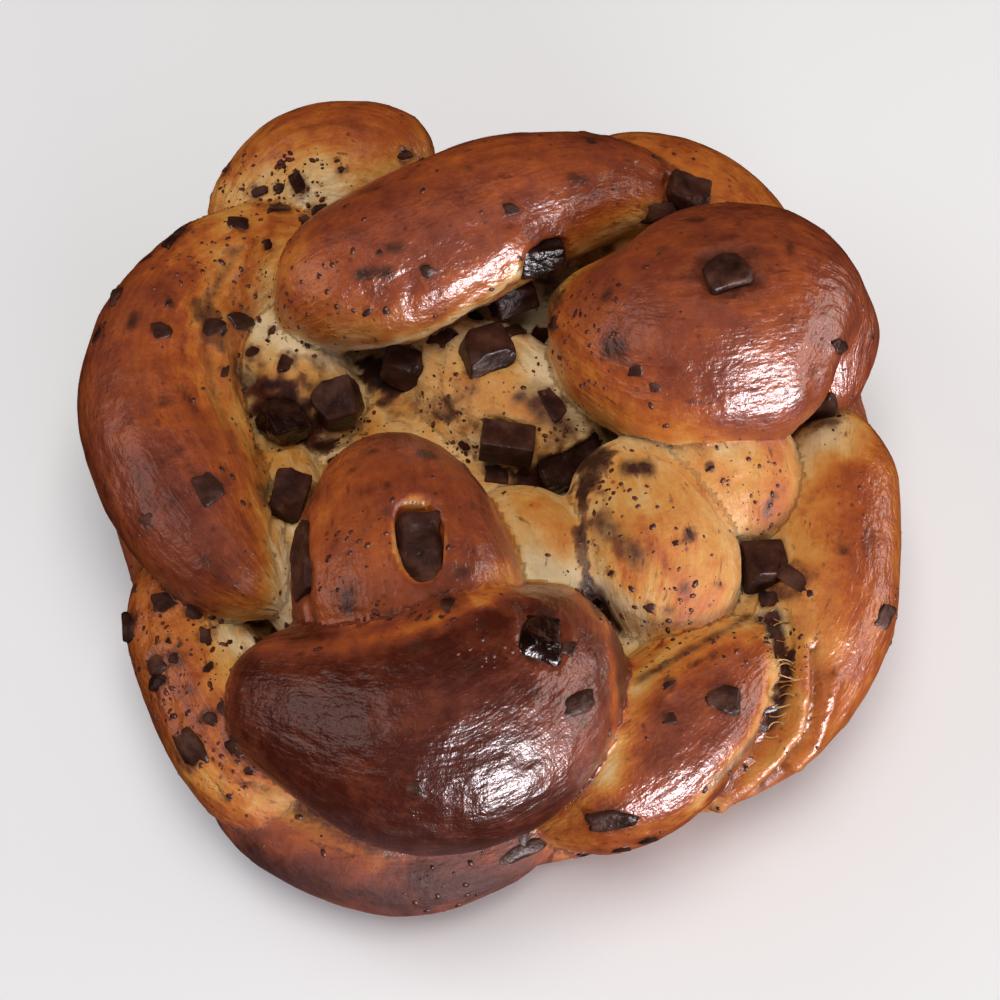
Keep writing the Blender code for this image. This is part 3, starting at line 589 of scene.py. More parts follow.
def write_layer(thing, name, values):
    """Stores one number, or one vector, for each point of the mesh."""
    vector = values.ndim == 2
    layer = thing.data.attributes.new(name, "FLOAT_VECTOR" if vector else "FLOAT", "POINT")
    layer.data.foreach_set("vector" if vector else "value", values.astype(np.float32).ravel())


def smooth_step(low, high, values):
    t = np.clip((values - low) / (high - low), 0, 1)
    return t * t * (3 - 2 * t)


def noise_at(points, seed=0):
    """Smooth noise between about -1 and 1, with lumps one unit large."""
    shift = Vector((seed * 7.31, seed * 3.17, seed * 5.73))
    return np.array([noise.noise(Vector(p) + shift) for p in points])


def spread(values, edges, turns):
    """Averages a value with its neighbours' along the mesh edges."""
    count = np.bincount(edges.ravel(), minlength=len(values)).clip(1)
    for _ in range(turns):
        total = np.bincount(edges[:, 0], values[edges[:, 1]], len(values))
        total += np.bincount(edges[:, 1], values[edges[:, 0]], len(values))
        values = (values + total / count) / 2
    return values


def tree_of(points):
    tree = KDTree(len(points))
    for index, point in enumerate(points):
        tree.insert(point, index)
    tree.balance()
    return tree


def surface_of(thing):
    mesh = thing.data
    return BVHTree.FromPolygons([v.co for v in mesh.vertices], [p.vertices[:] for p in mesh.polygons])


def placed(centre, turn):
    """The matrix that turns a shape by degrees and carries it to a centre in millimetres."""
    angles = Euler([math.radians(a) for a in turn])
    return Matrix.Translation(Vector(centre) * MM) @ angles.to_matrix().to_4x4()


def finish_piece(piece, material, nodes=()):
    """Gives a piece its material, ties it to the loaf's body and hides the CAD nodes it stands for."""
    piece.data.materials.clear()
    piece.data.materials.append(material)
    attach(piece, "root")
    for node in nodes:
        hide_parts(node)


# The photograph's view.

def ray_through(pixel):
    """The direction from the camera through a pixel of the photograph."""
    across = pixel[0] - TARGET_PIXEL[0]
    down = pixel[1] - TARGET_PIXEL[1]
    return (CAMERA_RIGHT * across - CAMERA_UP * down - TO_CAMERA * FOCAL_PIXELS).normalized()


def place_seen(pixel, surface):
    """Where a pixel falls on the crust, and the way the crust faces there. A pixel that is just off
    the loaf's outline is moved inwards until it meets the loaf."""
    step = 0.01
    across, down = pixel
    while True:
        place, normal, _, _ = surface.ray_cast(CAMERA_PLACE, ray_through((across, down)))
        if place is not None:
            return place, normal
        across += (TARGET_PIXEL[0] - across) * step
        down += (TARGET_PIXEL[1] - down) * step


def axis_seen(normal, turn):
    """A direction on a surface that shows at an angle above level. Its length makes up for how
    slanted the surface is to the view."""
    least_facing = 0.45
    most_stretch = 1.8
    angle = math.radians(turn)
    wish = CAMERA_RIGHT * math.cos(angle) + CAMERA_UP * math.sin(angle)
    axis = wish - TO_CAMERA * wish.dot(normal) / max(least_facing, normal.dot(TO_CAMERA))
    length = min(axis.length, most_stretch)
    axis -= normal * axis.dot(normal)
    return axis.normalized() * length


# Dough.

def strand_course(waypoints, share):
    """Centre and half width along the smooth curve through the waypoints, and its direction."""
    points = np.array(waypoints, float)
    points = np.vstack((2 * points[0] - points[1], points, 2 * points[-1] - points[-2]))
    spans = len(points) - 3
    place = np.clip(share, 0, 1) * spans
    span = np.minimum(place.astype(int), spans - 1)
    t = (place - span)[:, None]
    a, b, c, d = (points[span + k] for k in range(4))
    where = (2 * b + (c - a) * t + (2 * a - 5 * b + 4 * c - d) * t**2
             + (3 * b - a - 3 * c + d) * t**3) / 2
    pace = (c - a + 2 * (2 * a - 5 * b + 4 * c - d) * t + 3 * (3 * b - a - 3 * c + d) * t**2) / 2
    direction = pace[:, :3] / np.linalg.norm(pace[:, :3], axis=1, keepdims=True)
    side = np.cross(direction, (0, 0, 1))
    side /= np.linalg.norm(side, axis=1, keepdims=True)
    return where[:, :3] * MM, where[:, 3] * MM, direction, side, np.cross(side, direction)


def draw_strand(name, flatness, waypoints):
    """A ball of dough, drawn out along its waypoints. Returns it with each point's share of the way."""
    bpy.ops.mesh.primitive_uv_sphere_add(segments=STRAND_SIDES, ring_count=STRAND_RINGS, radius=1)
    strand = bpy.context.object
    strand.name = name
    ball = read_points(strand)
    share = np.arccos(np.clip(ball[:, 2], -1, 1)) / math.pi
    turn = np.arctan2(ball[:, 1], ball[:, 0])
    centre, half, _, side, up = strand_course(waypoints, share)
    end = np.sqrt(np.clip(1 - np.abs(2 * share - 1) ** END_BLUNTNESS, 0, 1))
    out = side * np.sin(turn)[:, None] + up * np.cos(turn)[:, None] * flatness
    write_points(strand, centre + out * (half * end)[:, None])
    return strand, share


def draw_core():
    bpy.ops.mesh.primitive_uv_sphere_add(segments=STRAND_SIDES, ring_count=STRAND_RINGS, radius=1)
    core = bpy.context.object
    write_points(core, (read_points(core) * CORE_HALF_SIZE + CORE_CENTRE) * MM)
    return core


def burst_blister(strand):
    """Takes an oval bubble out of a strand."""
    bpy.ops.mesh.primitive_uv_sphere_add(segments=BLISTER_SIDES, ring_count=BLISTER_RINGS, radius=1)
    bubble = bpy.context.object
    write_points(bubble, read_points(bubble) * BLISTER_HALF_SIZE * MM)
    bubble.data.transform(placed(BLISTER_CENTRE, BLISTER_TURN))
    apply_modifier(strand, "BOOLEAN", operation="DIFFERENCE", object=bubble)
    bpy.data.objects.remove(bubble, do_unlink=True)


def shape_dough():
    """Lays the strands, fuses them under one skin and cuts the flat base. Also returns, for points
    spread over the unfused strands, which strand each is on and how far along it."""
    names = list(STRANDS) + [CORE]
    core = draw_core()
    pieces = [core]
    places = [read_points(core)]
    owners = [np.full(len(places[0]), names.index(CORE))]
    shares = [np.zeros(len(places[0]))]
    for index, (name, (flatness, waypoints)) in enumerate(STRANDS.items()):
        strand, share = draw_strand(name, flatness, waypoints)
        pieces.append(strand)
        places.append(read_points(strand))
        owners.append(np.full(len(share), index))
        shares.append(share)
        if name == BLISTER_STRAND:
            burst_blister(strand)
    crust = join(pieces, "crust")
    apply_modifier(crust, "REMESH", mode="VOXEL", voxel_size=SKIN_CELL * MM)
    apply_modifier(crust, "SMOOTH", factor=RELAX_SHARE, iterations=SKIN_RELAX_TURNS)
    take(crust)
    bpy.ops.object.mode_set(mode="EDIT")
    bpy.ops.mesh.select_all(action="SELECT")
    bpy.ops.mesh.bisect(plane_co=(0, 0, 0), plane_no=(0, 0, 1), use_fill=True, clear_inner=True)
    bpy.ops.object.mode_set(mode="OBJECT")
    return crust, names, np.vstack(places), np.concatenate(owners), np.concatenate(shares)


def find_owners(points, places, owners, shares):
    """For each point of the skin, the strand it lies on and its share of the way along it."""
    tree = tree_of(places)
    nearest = np.array([tree.find(p)[1] for p in points])
    return owners[nearest], shares[nearest]


def strand_map(points, owner, share):
    """Where each point lies on its strand, in metres: along it and round it from the top. The third
    number keeps the strands' patterns apart."""
    mapped = np.zeros((len(points), 3))
    mapped[:, 2] = owner * METRES_BETWEEN_STRANDS
    for index, (_, waypoints) in enumerate(STRANDS.values()):
        mine = owner == index
        if not mine.any():
            continue
        samples = np.linspace(0, 1, COURSE_SAMPLES)
        line = strand_course(waypoints, samples)[0]
        steps = np.linalg.norm(np.diff(line, axis=0), axis=1)
        run = np.concatenate(([0], np.cumsum(steps)))
        centre, half, direction, side, up = strand_course(waypoints, share[mine])
        away = points[mine] - centre
        mapped[mine, 0] = np.interp(share[mine], samples, run) + (away * direction).sum(1)
        turn = np.arctan2((away * side).sum(1), (away * up).sum(1))
        mapped[mine, 1] = turn * np.mean(half)
    core = owner == len(STRANDS)
    mapped[core, :2] = points[core, :2]
    return mapped


def open_sky(points, normals, surface):
    """How much of the oven each point sees, from 0, shut in a fold, to 1, wide open."""
    reach = 45 * MM
    lift = 0.6 * MM
    rays = 40
    steepest = 0.98
    height_range = 1.18
    least_facing = 0.08
    light_past_a_far_fold = 0.5
    golden = math.pi * (3 - math.sqrt(5))
    heights = [steepest - height_range * (k + 0.5) / rays for k in range(rays)]
    ways = [Vector((math.cos(golden * k) * math.sqrt(1 - h * h),
                    math.sin(golden * k) * math.sqrt(1 - h * h), h)) for k, h in enumerate(heights)]
    facing = normals @ np.array(ways).T
    seen = np.zeros(len(points))
    for index, (point, normal) in enumerate(zip(points, normals)):
        start = Vector(point + normal * lift)
        total = 0.0
        free = 0.0
        for k in np.flatnonzero(facing[index] > least_facing):
            weight = facing[index, k]
            total += weight
            hit = surface.ray_cast(start, ways[k], reach)
            free += weight * (1.0 if hit[0] is None else hit[3] / reach * light_past_a_far_fold)
        seen[index] = free / total if total else 0
    return seen


# Marks on the skin.

def touch(marks, place, radius, softness, tree, owner, ragged):
    """How strongly a brush touches each point round a place, kept in marks where it is stronger. It
    stays on the strand that it is put on, and is half as strong at its ragged edge."""
    raggedness = 0.3
    nearest = tree.find(place)[1]
    for _, index, distance in tree.find_range(place, radius * (1 + raggedness) * (1 + softness)):
        if owner[index] != owner[nearest]:
            continue
        edge = radius * (1 + raggedness * ragged[index])
        strength = (edge * (1 + softness) - distance) / (edge * softness * 2)
        strength = min(1.0, max(0.0, strength))
        marks[index] = max(marks[index], strength * strength * (3 - 2 * strength))


def stroke_marks(pixels, radius, softness, surface, tree, owner, ragged):
    """The points that a stroke through pixels of the photograph touches, and how strongly."""
    step = 4
    marks = np.zeros(len(owner))
    for (x0, y0), (x1, y1) in zip(pixels, pixels[1:]):
        count = max(2, int(math.hypot(x1 - x0, y1 - y0) / step))
        for k in range(count):
            pixel = (x0 + (x1 - x0) * k / count, y0 + (y1 - y0) * k / count)
            touch(marks, place_seen(pixel, surface)[0], radius * MM, softness, tree, owner, ragged)
    return marks


def stain_marks(x, y, length, width, turn, surface, tree, owner, ragged):
    """The points that one chip under the skin darkens: a row of touches along its length."""
    softness = 0.8
    marks = np.zeros(len(owner))
    place, normal = place_seen((x, y), surface)
    axis = axis_seen(normal, turn)
    reach = max(0.0, length - width) / 2
    for share in (-1, -0.5, 0, 0.5, 1):
        touch(marks, place + axis * share * reach * MM, width / 2 * MM, softness, tree, owner, ragged)
    return marks


def pocket_relief(points):
    """The dough sinks beside each chunk and rises in a rim round it. Gives the height to add."""
    lump = 4 * MM
    unevenness = 0.7
    reach = POCKET_WIDTH * 3
    crest = POCKET_WIDTH * 1.5
    crest_width = POCKET_WIDTH * 0.6
    height = np.zeros(len(points))
    uneven = noise_at(points / lump, POCKET_SEED) * unevenness
    for centre, size, turn in CHUNKS.values():
        back = np.array(placed(centre, turn).inverted())
        local = np.abs(points @ back[:3, :3].T + back[:3, 3]) / MM * 2 / size
        outside = (local**POCKET_SQUARENESS).sum(axis=1) ** (1 / POCKET_SQUARENESS) - 1
        outside = outside * min(size) / 2 + uneven
        near = np.flatnonzero(outside < reach)
        painted_shade_and_sunk_chips = -POCKET_DEPTH * (1 - smooth_step(0, POCKET_WIDTH, outside[near]))
        rim = POCKET_RIM * np.exp(-((outside[near] - crest) / crest_width) ** 2)
        height[near] = np.minimum(height[near], painted_shade_and_sunk_chips) + np.where(outside[near] > 0, rim, 0)
    return height * MM


# Materials.

def paint(hexcode):
    """Turns an sRGB hex colour to linear red, green, blue and alpha."""
    parts = [int(hexcode[i:i + 2], 16) / 255 for i in (1, 3, 5)]
    return [c / 12.92 if c <= 0.04045 else ((c + 0.055) / 1.055) ** 2.4 for c in parts] + [1]


def add_node(tree, kind, inputs=None, **settings):
    """Adds a node, sets it up, and links or fills its inputs."""
    made = tree.nodes.new(kind)
    for name, value in settings.items():
        setattr(made, name, value)
    for socket, value in (inputs or {}).items():
        if isinstance(value, bpy.types.NodeSocket):
            tree.links.new(value, made.inputs[socket])
        else:
            made.inputs[socket].default_value = value
    return made


def new_material(name):
    made = bpy.data.materials.new(name)
    made.use_nodes = True
    return made, made.node_tree, made.node_tree.nodes["Principled BSDF"]


def set_ramp(ramp, stops):
    """Fills a colour ramp from (place, hex colour) stops."""
    points = ramp.color_ramp.elements
    while len(points) > 1:
        points.remove(points[-1])
    for index, (place, hexcode) in enumerate(stops):
        stop = points[0] if index == 0 else points.new(place)
        stop.position = place
        stop.color = paint(hexcode)


def egg_washed_crust():
    """Brioche crust: dough brushed with egg, so it bakes from cream through gold to mahogany under
    a thin uneven gloss, freckled where chocolate dust has bled, with streaks where it was pulled, and
    with painted shade in its folds and slits."""
    made, tree, shader = new_material("egg_washed_brioche_crust")
    place = add_node(tree, "ShaderNodeTexCoord").outputs["Object"]
    strand = add_node(tree, "ShaderNodeAttribute", attribute_name="strand").outputs["Vector"]
    bake, stain, shade, wash, stretch = (
        add_node(tree, "ShaderNodeAttribute", attribute_name=layer).outputs["Fac"]
        for layer in ("bake", "stain", "shade", "wash", "stretch"))

    def cloud(lump, detail=3, where=place):
        """Noise with lumps of a size in metres, swinging round zero."""
        lumps = add_node(tree, "ShaderNodeTexNoise", {"Vector": where, "Scale": 1 / lump,
                                                      "Detail": detail, "Roughness": 0.6})
        return add_node(tree, "ShaderNodeMath", {0: lumps.outputs["Fac"], 1: 0.5},
                        operation="SUBTRACT").outputs[0]

    def drawn_cloud(length, width, detail=3):
        """The same noise, with lumps drawn out along the strand."""
        drawn = add_node(tree, "ShaderNodeMapping", {"Vector": strand,
                                                     "Scale": (1 / length, 1 / width, 1)})
        return cloud(1, detail, drawn.outputs[0])

    # How brown: as far as it baked, with blotches and fine grain, and streaks where it was pulled.
    mottle = cloud(4.2 * MM)
    level = bake
    for pattern, share in ((cloud(13 * MM), 0.42), (mottle, 0.26), (cloud(1.2 * MM), 0.12),
                           (drawn_cloud(16 * MM, 2.1 * MM), stretch)):
        level = add_node(tree, "ShaderNodeMath", {0: pattern, 1: share, 2: level},
                         operation="MULTIPLY_ADD").outputs[0]
    browning = add_node(tree, "ShaderNodeValToRGB", {"Fac": level})
    set_ramp(browning, ((0.00, "#dbc398"), (0.18, "#cfa66b"), (0.32, "#c68a41"), (0.46, "#b96b29"),
                        (0.60, "#9d4c20"), (0.76, "#7b3821"), (1.00, "#45180c")))

    # Freckles of bled chocolate dust: round spots in most cells of a pattern, each of its own size.
    cells = add_node(tree, "ShaderNodeTexVoronoi", {"Vector": place, "Scale": 1 / (2.6 * MM)})
    lot = add_node(tree, "ShaderNodeSeparateColor", {"Color": cells.outputs["Color"]}).outputs[0]
    radius = add_node(tree, "ShaderNodeMapRange", {"Value": lot, "From Min": 0.38, "From Max": 1.0,
                                                   "To Min": -0.1, "To Max": 0.24}).outputs[0]
    freckles = add_node(tree, "ShaderNodeMath", {0: radius, 1: cells.outputs["Distance"]},
                        operation="SUBTRACT").outputs[0]

    # Marks over the browning, from the skin up: (pattern, where it starts, where it is full, how
    # strong it is then, colour).
    # Painted shade of folds and slits, with the dark of chips under the skin, made uneven.
    uneven_shade = add_node(tree, "ShaderNodeMath", {0: shade, 1: mottle},
                            operation="MULTIPLY").outputs[0]
    painted_shade_and_sunk_chips = add_node(tree, "ShaderNodeMath", {0: uneven_shade, 1: 1.6, 2: shade},
                    operation="MULTIPLY_ADD").outputs[0]
    # Melted chocolate, which on a few strokes is painted shade in its colour.
    melted = add_node(tree, "ShaderNodeMath", {0: cloud(3.4 * MM, 4), 1: 1.2, 2: stain},
                      operation="MULTIPLY_ADD").outputs[0]
    colour = browning.outputs[0]
    for pattern, low, high, strength, hexcode in (
            (drawn_cloud(4.8 * MM, 2.1 * MM, 4), 0.12, 0.19, 0.72, "#5a2a19"),
            (freckles, -0.06, 0.06, 0.60, "#4f2015"),
            (cloud(8.5 * MM, 4), 0.12, 0.24, 0.45, "#6a2a1c"),
            (painted_shade_and_sunk_chips, 0.00, 1.00, 1.35, "#3e2118"),
            (melted, 0.22, 0.62, 0.72, "#5f2e1b"),
            (melted, 0.52, 1.00, 0.92, "#25110c")):
        share = add_node(tree, "ShaderNodeMapRange", {"Value": pattern, "From Min": low,
                                                      "From Max": high, "To Max": strength}).outputs[0]
        colour = add_node(tree, "ShaderNodeMix", {"Factor": share, "A": colour, "B": paint(hexcode)},
                          data_type="RGBA").outputs["Result"]

    # Wrinkles along the strand and shallow dimples, in the skin and in the egg wash over it.
    wrinkles = drawn_cloud(9 * MM, 3.8 * MM)
    height = add_node(tree, "ShaderNodeMath", {0: cloud(3.6 * MM, 4), 1: 0.8, 2: wrinkles},
                      operation="MULTIPLY_ADD").outputs[0]
    bump = add_node(tree, "ShaderNodeBump", {"Height": height, "Strength": 0.9, "Distance": 0.9 * MM})

    # Egg wash: (socket, where there is none, where it lies thick).
    brushed = add_node(tree, "ShaderNodeMath", {0: mottle, 1: 0.5, 2: wash},
                       operation="MULTIPLY_ADD").outputs[0]
    for socket, bare, thick in (("Roughness", 0.78, 0.34), ("Coat Weight", 0.0, 0.50)):
        gloss = add_node(tree, "ShaderNodeMapRange", {"Value": brushed, "To Min": bare,
                                                      "To Max": thick})
        tree.links.new(gloss.outputs[0], shader.inputs[socket])
    tree.links.new(colour, shader.inputs["Base Color"])
    tree.links.new(bump.outputs[0], shader.inputs["Normal"])
    tree.links.new(bump.outputs[0], shader.inputs["Coat Normal"])
    shader.inputs["Coat Roughness"].default_value = 0.22
    shader.inputs["IOR"].default_value = 1.42
    return made


def couverture(name, colours, gloss_range, specular):
    """Dark couverture: brown, waxy and faintly dusty where the knife left it, black and wet where it
    melted. The colours run at random through a noise, from the darkest to the dustiest."""
    made, tree, shader = new_material(name)
    place = add_node(tree, "ShaderNodeTexCoord").outputs["Object"]
    cloud = add_node(tree, "ShaderNodeTexNoise", {"Vector": place, "Scale": 1 / (5 * MM),
                                                  "Detail": 4}).outputs["Fac"]
    fine = add_node(tree, "ShaderNodeTexNoise", {"Vector": place, "Scale": 1 / (1.2 * MM),
                                                 "Detail": 3}).outputs["Fac"]
    colour = add_node(tree, "ShaderNodeValToRGB", {"Fac": cloud})
    set_ramp(colour, tuple(zip((0.30, 0.52, 0.72), colours)))
    sharpest, dullest = gloss_range
    gloss = add_node(tree, "ShaderNodeMapRange", {"Value": cloud, "From Min": 0.35, "From Max": 0.65,
                                                  "To Min": sharpest, "To Max": dullest})
    bump = add_node(tree, "ShaderNodeBump", {"Height": fine, "Strength": 0.6, "Distance": 0.5 * MM})
    tree.links.new(colour.outputs[0], shader.inputs["Base Color"])
    tree.links.new(gloss.outputs[0], shader.inputs["Roughness"])
    tree.links.new(bump.outputs[0], shader.inputs["Normal"])
    shader.inputs["IOR"].default_value = 1.46
    shader.inputs["Specular IOR Level"].default_value = specular
    return made


def torn_dough():
    """Raw crumb that was pulled into threads as the loaf rose: cream, soft and without egg wash."""
    made, tree, shader = new_material("torn_raw_crumb")
    place = add_node(tree, "ShaderNodeTexCoord").outputs["Object"]
    cloud = add_node(tree, "ShaderNodeTexNoise", {"Vector": place,
                                                  "Scale": 1 / (3 * MM)}).outputs["Fac"]
    colour = add_node(tree, "ShaderNodeValToRGB", {"Fac": cloud})
    set_ramp(colour, ((0.35, "#96622d"), (0.50, "#bd8a4a"), (0.65, "#dcb67a")))
    bump = add_node(tree, "ShaderNodeBump", {"Height": cloud, "Strength": 0.4, "Distance": 0.4 * MM})
    tree.links.new(colour.outputs[0], shader.inputs["Base Color"])
    tree.links.new(bump.outputs[0], shader.inputs["Normal"])
    shader.inputs["Roughness"].default_value = 0.55
    return made


def cocoa_crumbs():
    """Crumbs of chocolate that melted into the egg wash: dull, and from red brown to near black."""
    made, tree, shader = new_material("baked_cocoa_crumbs")
    place = add_node(tree, "ShaderNodeTexCoord").outputs["Object"]
    cloud = add_node(tree, "ShaderNodeTexNoise", {"Vector": place,
                                                  "Scale": 1 / (4 * MM)}).outputs["Fac"]
    colour = add_node(tree, "ShaderNodeValToRGB", {"Fac": cloud})
    set_ramp(colour, ((0.35, "#33150f"), (0.65, "#642e1e")))
    tree.links.new(colour.outputs[0], shader.inputs["Base Color"])
    shader.inputs["Roughness"].default_value = 0.5
    return made


# Pieces.

def shape_skin(crust, points, mapped, edges, owner, tree, ragged, rough_surface):
    """Raises and sinks the fused skin: lumps, pulled ridges, strokes, and pockets round the
    chocolate. Returns which points are on the flat base."""
    usual_ridge = 0.55
    patchiness_of_ridges = 0.45
    ridge_blending_turns = 3
    raggedness_of_relief = 0.3
    more_sunk_than_raised = 0.3
    base_height = 0.5 * MM
    undisturbed_height = 4 * MM
    normals = read_normals(crust)
    height = np.zeros(len(points))
    for seed, (size, rise) in enumerate(LUMPS):
        height += noise_at(points / (size * MM), seed) * rise * MM
    for seed, (length, width, rise) in enumerate(DRAWN_RIDGES):
        cell = (length * MM, width * MM, METRES_BETWEEN_STRANDS)
        ridges = noise_at(mapped / cell, seed + RIDGE_SEED)
        height += ridges * rise * MM * (usual_ridge + patchiness_of_ridges * ragged)
    height = spread(height, edges, ridge_blending_turns)
    torn = noise_at(points / (TEAR_GRAIN * MM), TEAR_SEED) - more_sunk_than_raised
    ragged = ragged * raggedness_of_relief
    for layer, amount, radius, pixels in STROKES.values():
        if layer in ("relief", "tear"):
            marks = stroke_marks(pixels, radius, SOFTNESS[layer], rough_surface, tree, owner, ragged)
            height += marks * amount * MM * (torn if layer == "tear" else 1)
    height += pocket_relief(points)
    on_base = points[:, 2] < base_height
    height[on_base] = 0
    away_from_base = smooth_step(0, undisturbed_height, points[:, 2])
    points += normals * (height * away_from_base)[:, None]
    write_points(crust, points)
    return on_base


def make_crust():
    """The crust's mesh, and the layers that its material reads: how far it baked, melted chocolate,
    painted shade of folds and slits with the dark of chips under the skin, egg wash, and how far it was
    pulled. A few browning and melted-chocolate strokes are painted shade too."""
    crust, names, places, owners, shares = shape_dough()
    points = read_points(crust)
    owner, share = find_owners(points, places, owners, shares)
    mapped = strand_map(points, owner, share)
    edges = read_edges(crust)
    ragged = noise_at(points / (RAGGED_GRAIN * MM), RAGGED_SEED)
    ragged = np.clip(ragged * RAGGED_SWING, -1, 1)
    tree = tree_of(points)
    on_base = shape_skin(crust, points, mapped, edges, owner, tree, ragged, surface_of(crust))
    tree = tree_of(points)

    surface = surface_of(crust)
    sky = spread(open_sky(points, read_normals(crust), surface), edges, SKY_BLENDING_TURNS)
    creases, tops = (spread(np.array([BROWNING[name][end] for name in names])[owner], edges,
                            BAKE_BLENDING_TURNS) for end in (0, 1))
    layers = {"bake": creases + (tops - creases) * smooth_step(*BROWNED_SKY, sky),
              "stain": np.zeros(len(points)),
              "wash": np.zeros(len(points)),
              # Painted shade in the most shut-in folds.
              "shade": FOLD_SHADE * (1 - smooth_step(*FOLD_SHADED_SKY, sky)),
              "stretch": STREAKS_ON_TOP + STREAKS_IN_FOLDS * (1 - smooth_step(*PULLED_SKY, sky))}
    for layer, amount, radius, pixels in STROKES.values():
        if layer in layers:
            jagged = ragged * STAIN_RAGGEDNESS if layer == "stain" else ragged
            marks = stroke_marks(pixels, radius, SOFTNESS[layer], surface, tree, owner, jagged)
            layers[layer] += marks * amount
    for *where, dark in STAINS:
        marks = stain_marks(*where, surface, tree, owner, ragged)
        layers["shade"] = np.maximum(layers["shade"], marks * dark)
    into_blister = np.array(placed(BLISTER_CENTRE, BLISTER_TURN).inverted())
    local = (points @ into_blister[:3, :3].T + into_blister[:3, 3]) / MM / BLISTER_HALF_SIZE
    in_blister = 1 - smooth_step(*BLISTER_EDGE, np.linalg.norm(local, axis=1))
    layers["bake"] += (BLISTER_BROWNING - layers["bake"]) * in_blister
    layers["bake"][on_base] = BASE_BROWNING
    layers["stretch"][on_base] = 0
    layers["shade"][on_base] = 0
    brushed = smooth_step(*BRUSHED_SKY, sky) * smooth_step(*BRUSHED_HEIGHTS, points[:, 2] / MM)
    layers["wash"] += brushed * smooth_step(*BRUSHED_BROWNING, layers["bake"])
    return crust, points, ragged, tree, surface, layers, mapped


def finish_crust(crust, layers, mapped, material):
    for name, values in layers.items():
        write_layer(crust, name, np.clip(values, 0, 1))
    write_layer(crust, "strand", mapped)
    take(crust)
    bpy.ops.object.shade_smooth()
    finish_piece(crust, material, ["braided_loaf"])


def chop_block(size, cuts, seed):
    """A block of chocolate with corners broken off, in metres, at the origin."""
    least_slant = 0.2
    depth_of_cut = (0.60, 0.84)
    chance = random.Random(seed)
    bpy.ops.mesh.primitive_cube_add(size=1)
    block = bpy.context.object
    write_points(block, read_points(block) * size * MM)
    take(block)
    bpy.ops.object.mode_set(mode="EDIT")
    for _ in range(cuts):
        way = Vector([chance.choice((-1, 1)) * chance.uniform(least_slant, 1) for _ in range(3)])
        way = Vector([w / s for w, s in zip(way, size)]).normalized()
        corner = sum(abs(w) * s / 2 for w, s in zip(way, size)) * MM
        bpy.ops.mesh.select_all(action="SELECT")
        bpy.ops.mesh.bisect(plane_co=way * corner * chance.uniform(*depth_of_cut), plane_no=way,
                            use_fill=True, clear_outer=True)
    bpy.ops.object.mode_set(mode="OBJECT")
    return block


def make_chunk(node, centre, size, turn, material):
    """A chunk: chopped, then softened by the oven as far as its state says."""
    cuts, melting, lumps = CHUNK_STATE[node]
    chunk = chop_block(size, cuts, node)
    chunk.name = node.replace("chunk", "chocolate")
    edge = CHOPPED_EDGE + MELTED_EDGE_MORE * melting
    smoothing = CHOPPED_SMOOTHING + int(MELTED_SMOOTHING_MORE * melting)
    apply_modifier(chunk, "BEVEL", width=edge * MM, segments=2, limit_method="ANGLE")
    apply_modifier(chunk, "REMESH", mode="VOXEL", voxel_size=CHUNK_CELL * MM)
    apply_modifier(chunk, "SMOOTH", factor=RELAX_SHARE, iterations=smoothing)
    points = read_points(chunk)
    bumps = np.zeros(len(points))
    for seed, (size_of_lump, share) in enumerate(CHUNK_LUMPS):
        bumps += noise_at(points / (size_of_lump * MM), len(node) + seed) * share
    write_points(chunk, points + read_normals(chunk) * (bumps * lumps * MM)[:, None])
    chunk.data.transform(placed(centre, turn))
    take(chunk)
    bpy.ops.object.shade_smooth()
    finish_piece(chunk, material, [node])
    return chunk


def chip_shapes():
    """Chopped chips one unit large: a few shapes, as points and faces, that the many chips share.
    Every other kind keeps its edges, and the rest have gone round in the oven."""
    lumps_across = 2.4
    lump_share = 0.15
    shapes = []
    for kind in range(CHIP_KINDS):
        block = chop_block((1 / MM, 1 / MM, 1 / MM), CHIP_CUTS, f"chip {kind}")
        if kind % 2:
            apply_modifier(block, "BEVEL", width=CHIP_EDGE_SHARE, segments=1, limit_method="ANGLE")
        apply_modifier(block, "SUBSURF", levels=1, render_levels=1)
        points = read_points(block)
        points += read_normals(block) * (noise_at(points * lumps_across, kind) * lump_share)[:, None]
        shapes.append((points, [tuple(face.vertices) for face in block.data.polygons]))
        bpy.data.objects.remove(block, do_unlink=True)
    return shapes


def build_scatter(name, copies, material):
    """Joins many small copies, each (points, faces), into one piece."""
    points = []
    faces = []
    count = 0
    for copy_points, copy_faces in copies:
        points.append(copy_points)
        faces.extend([tuple(index + count for index in face) for face in copy_faces])
        count += len(copy_points)
    mesh = bpy.data.meshes.new(name)
    mesh.from_pydata(np.vstack(points).tolist(), [], faces)
    mesh.update()
    piece = bpy.data.objects.new(name, mesh)
    bpy.context.scene.collection.objects.link(piece)
    take(piece)
    bpy.ops.object.shade_smooth()
    finish_piece(piece, material)
    return piece


def is_in_view(place, normal, surface):
    """Whether a place on the crust shows in the photograph."""
    way = CAMERA_PLACE - place
    if normal.dot(way) <= 0:
        return False
    return surface.ray_cast(place + normal * MM, way.normalized())[0] is None


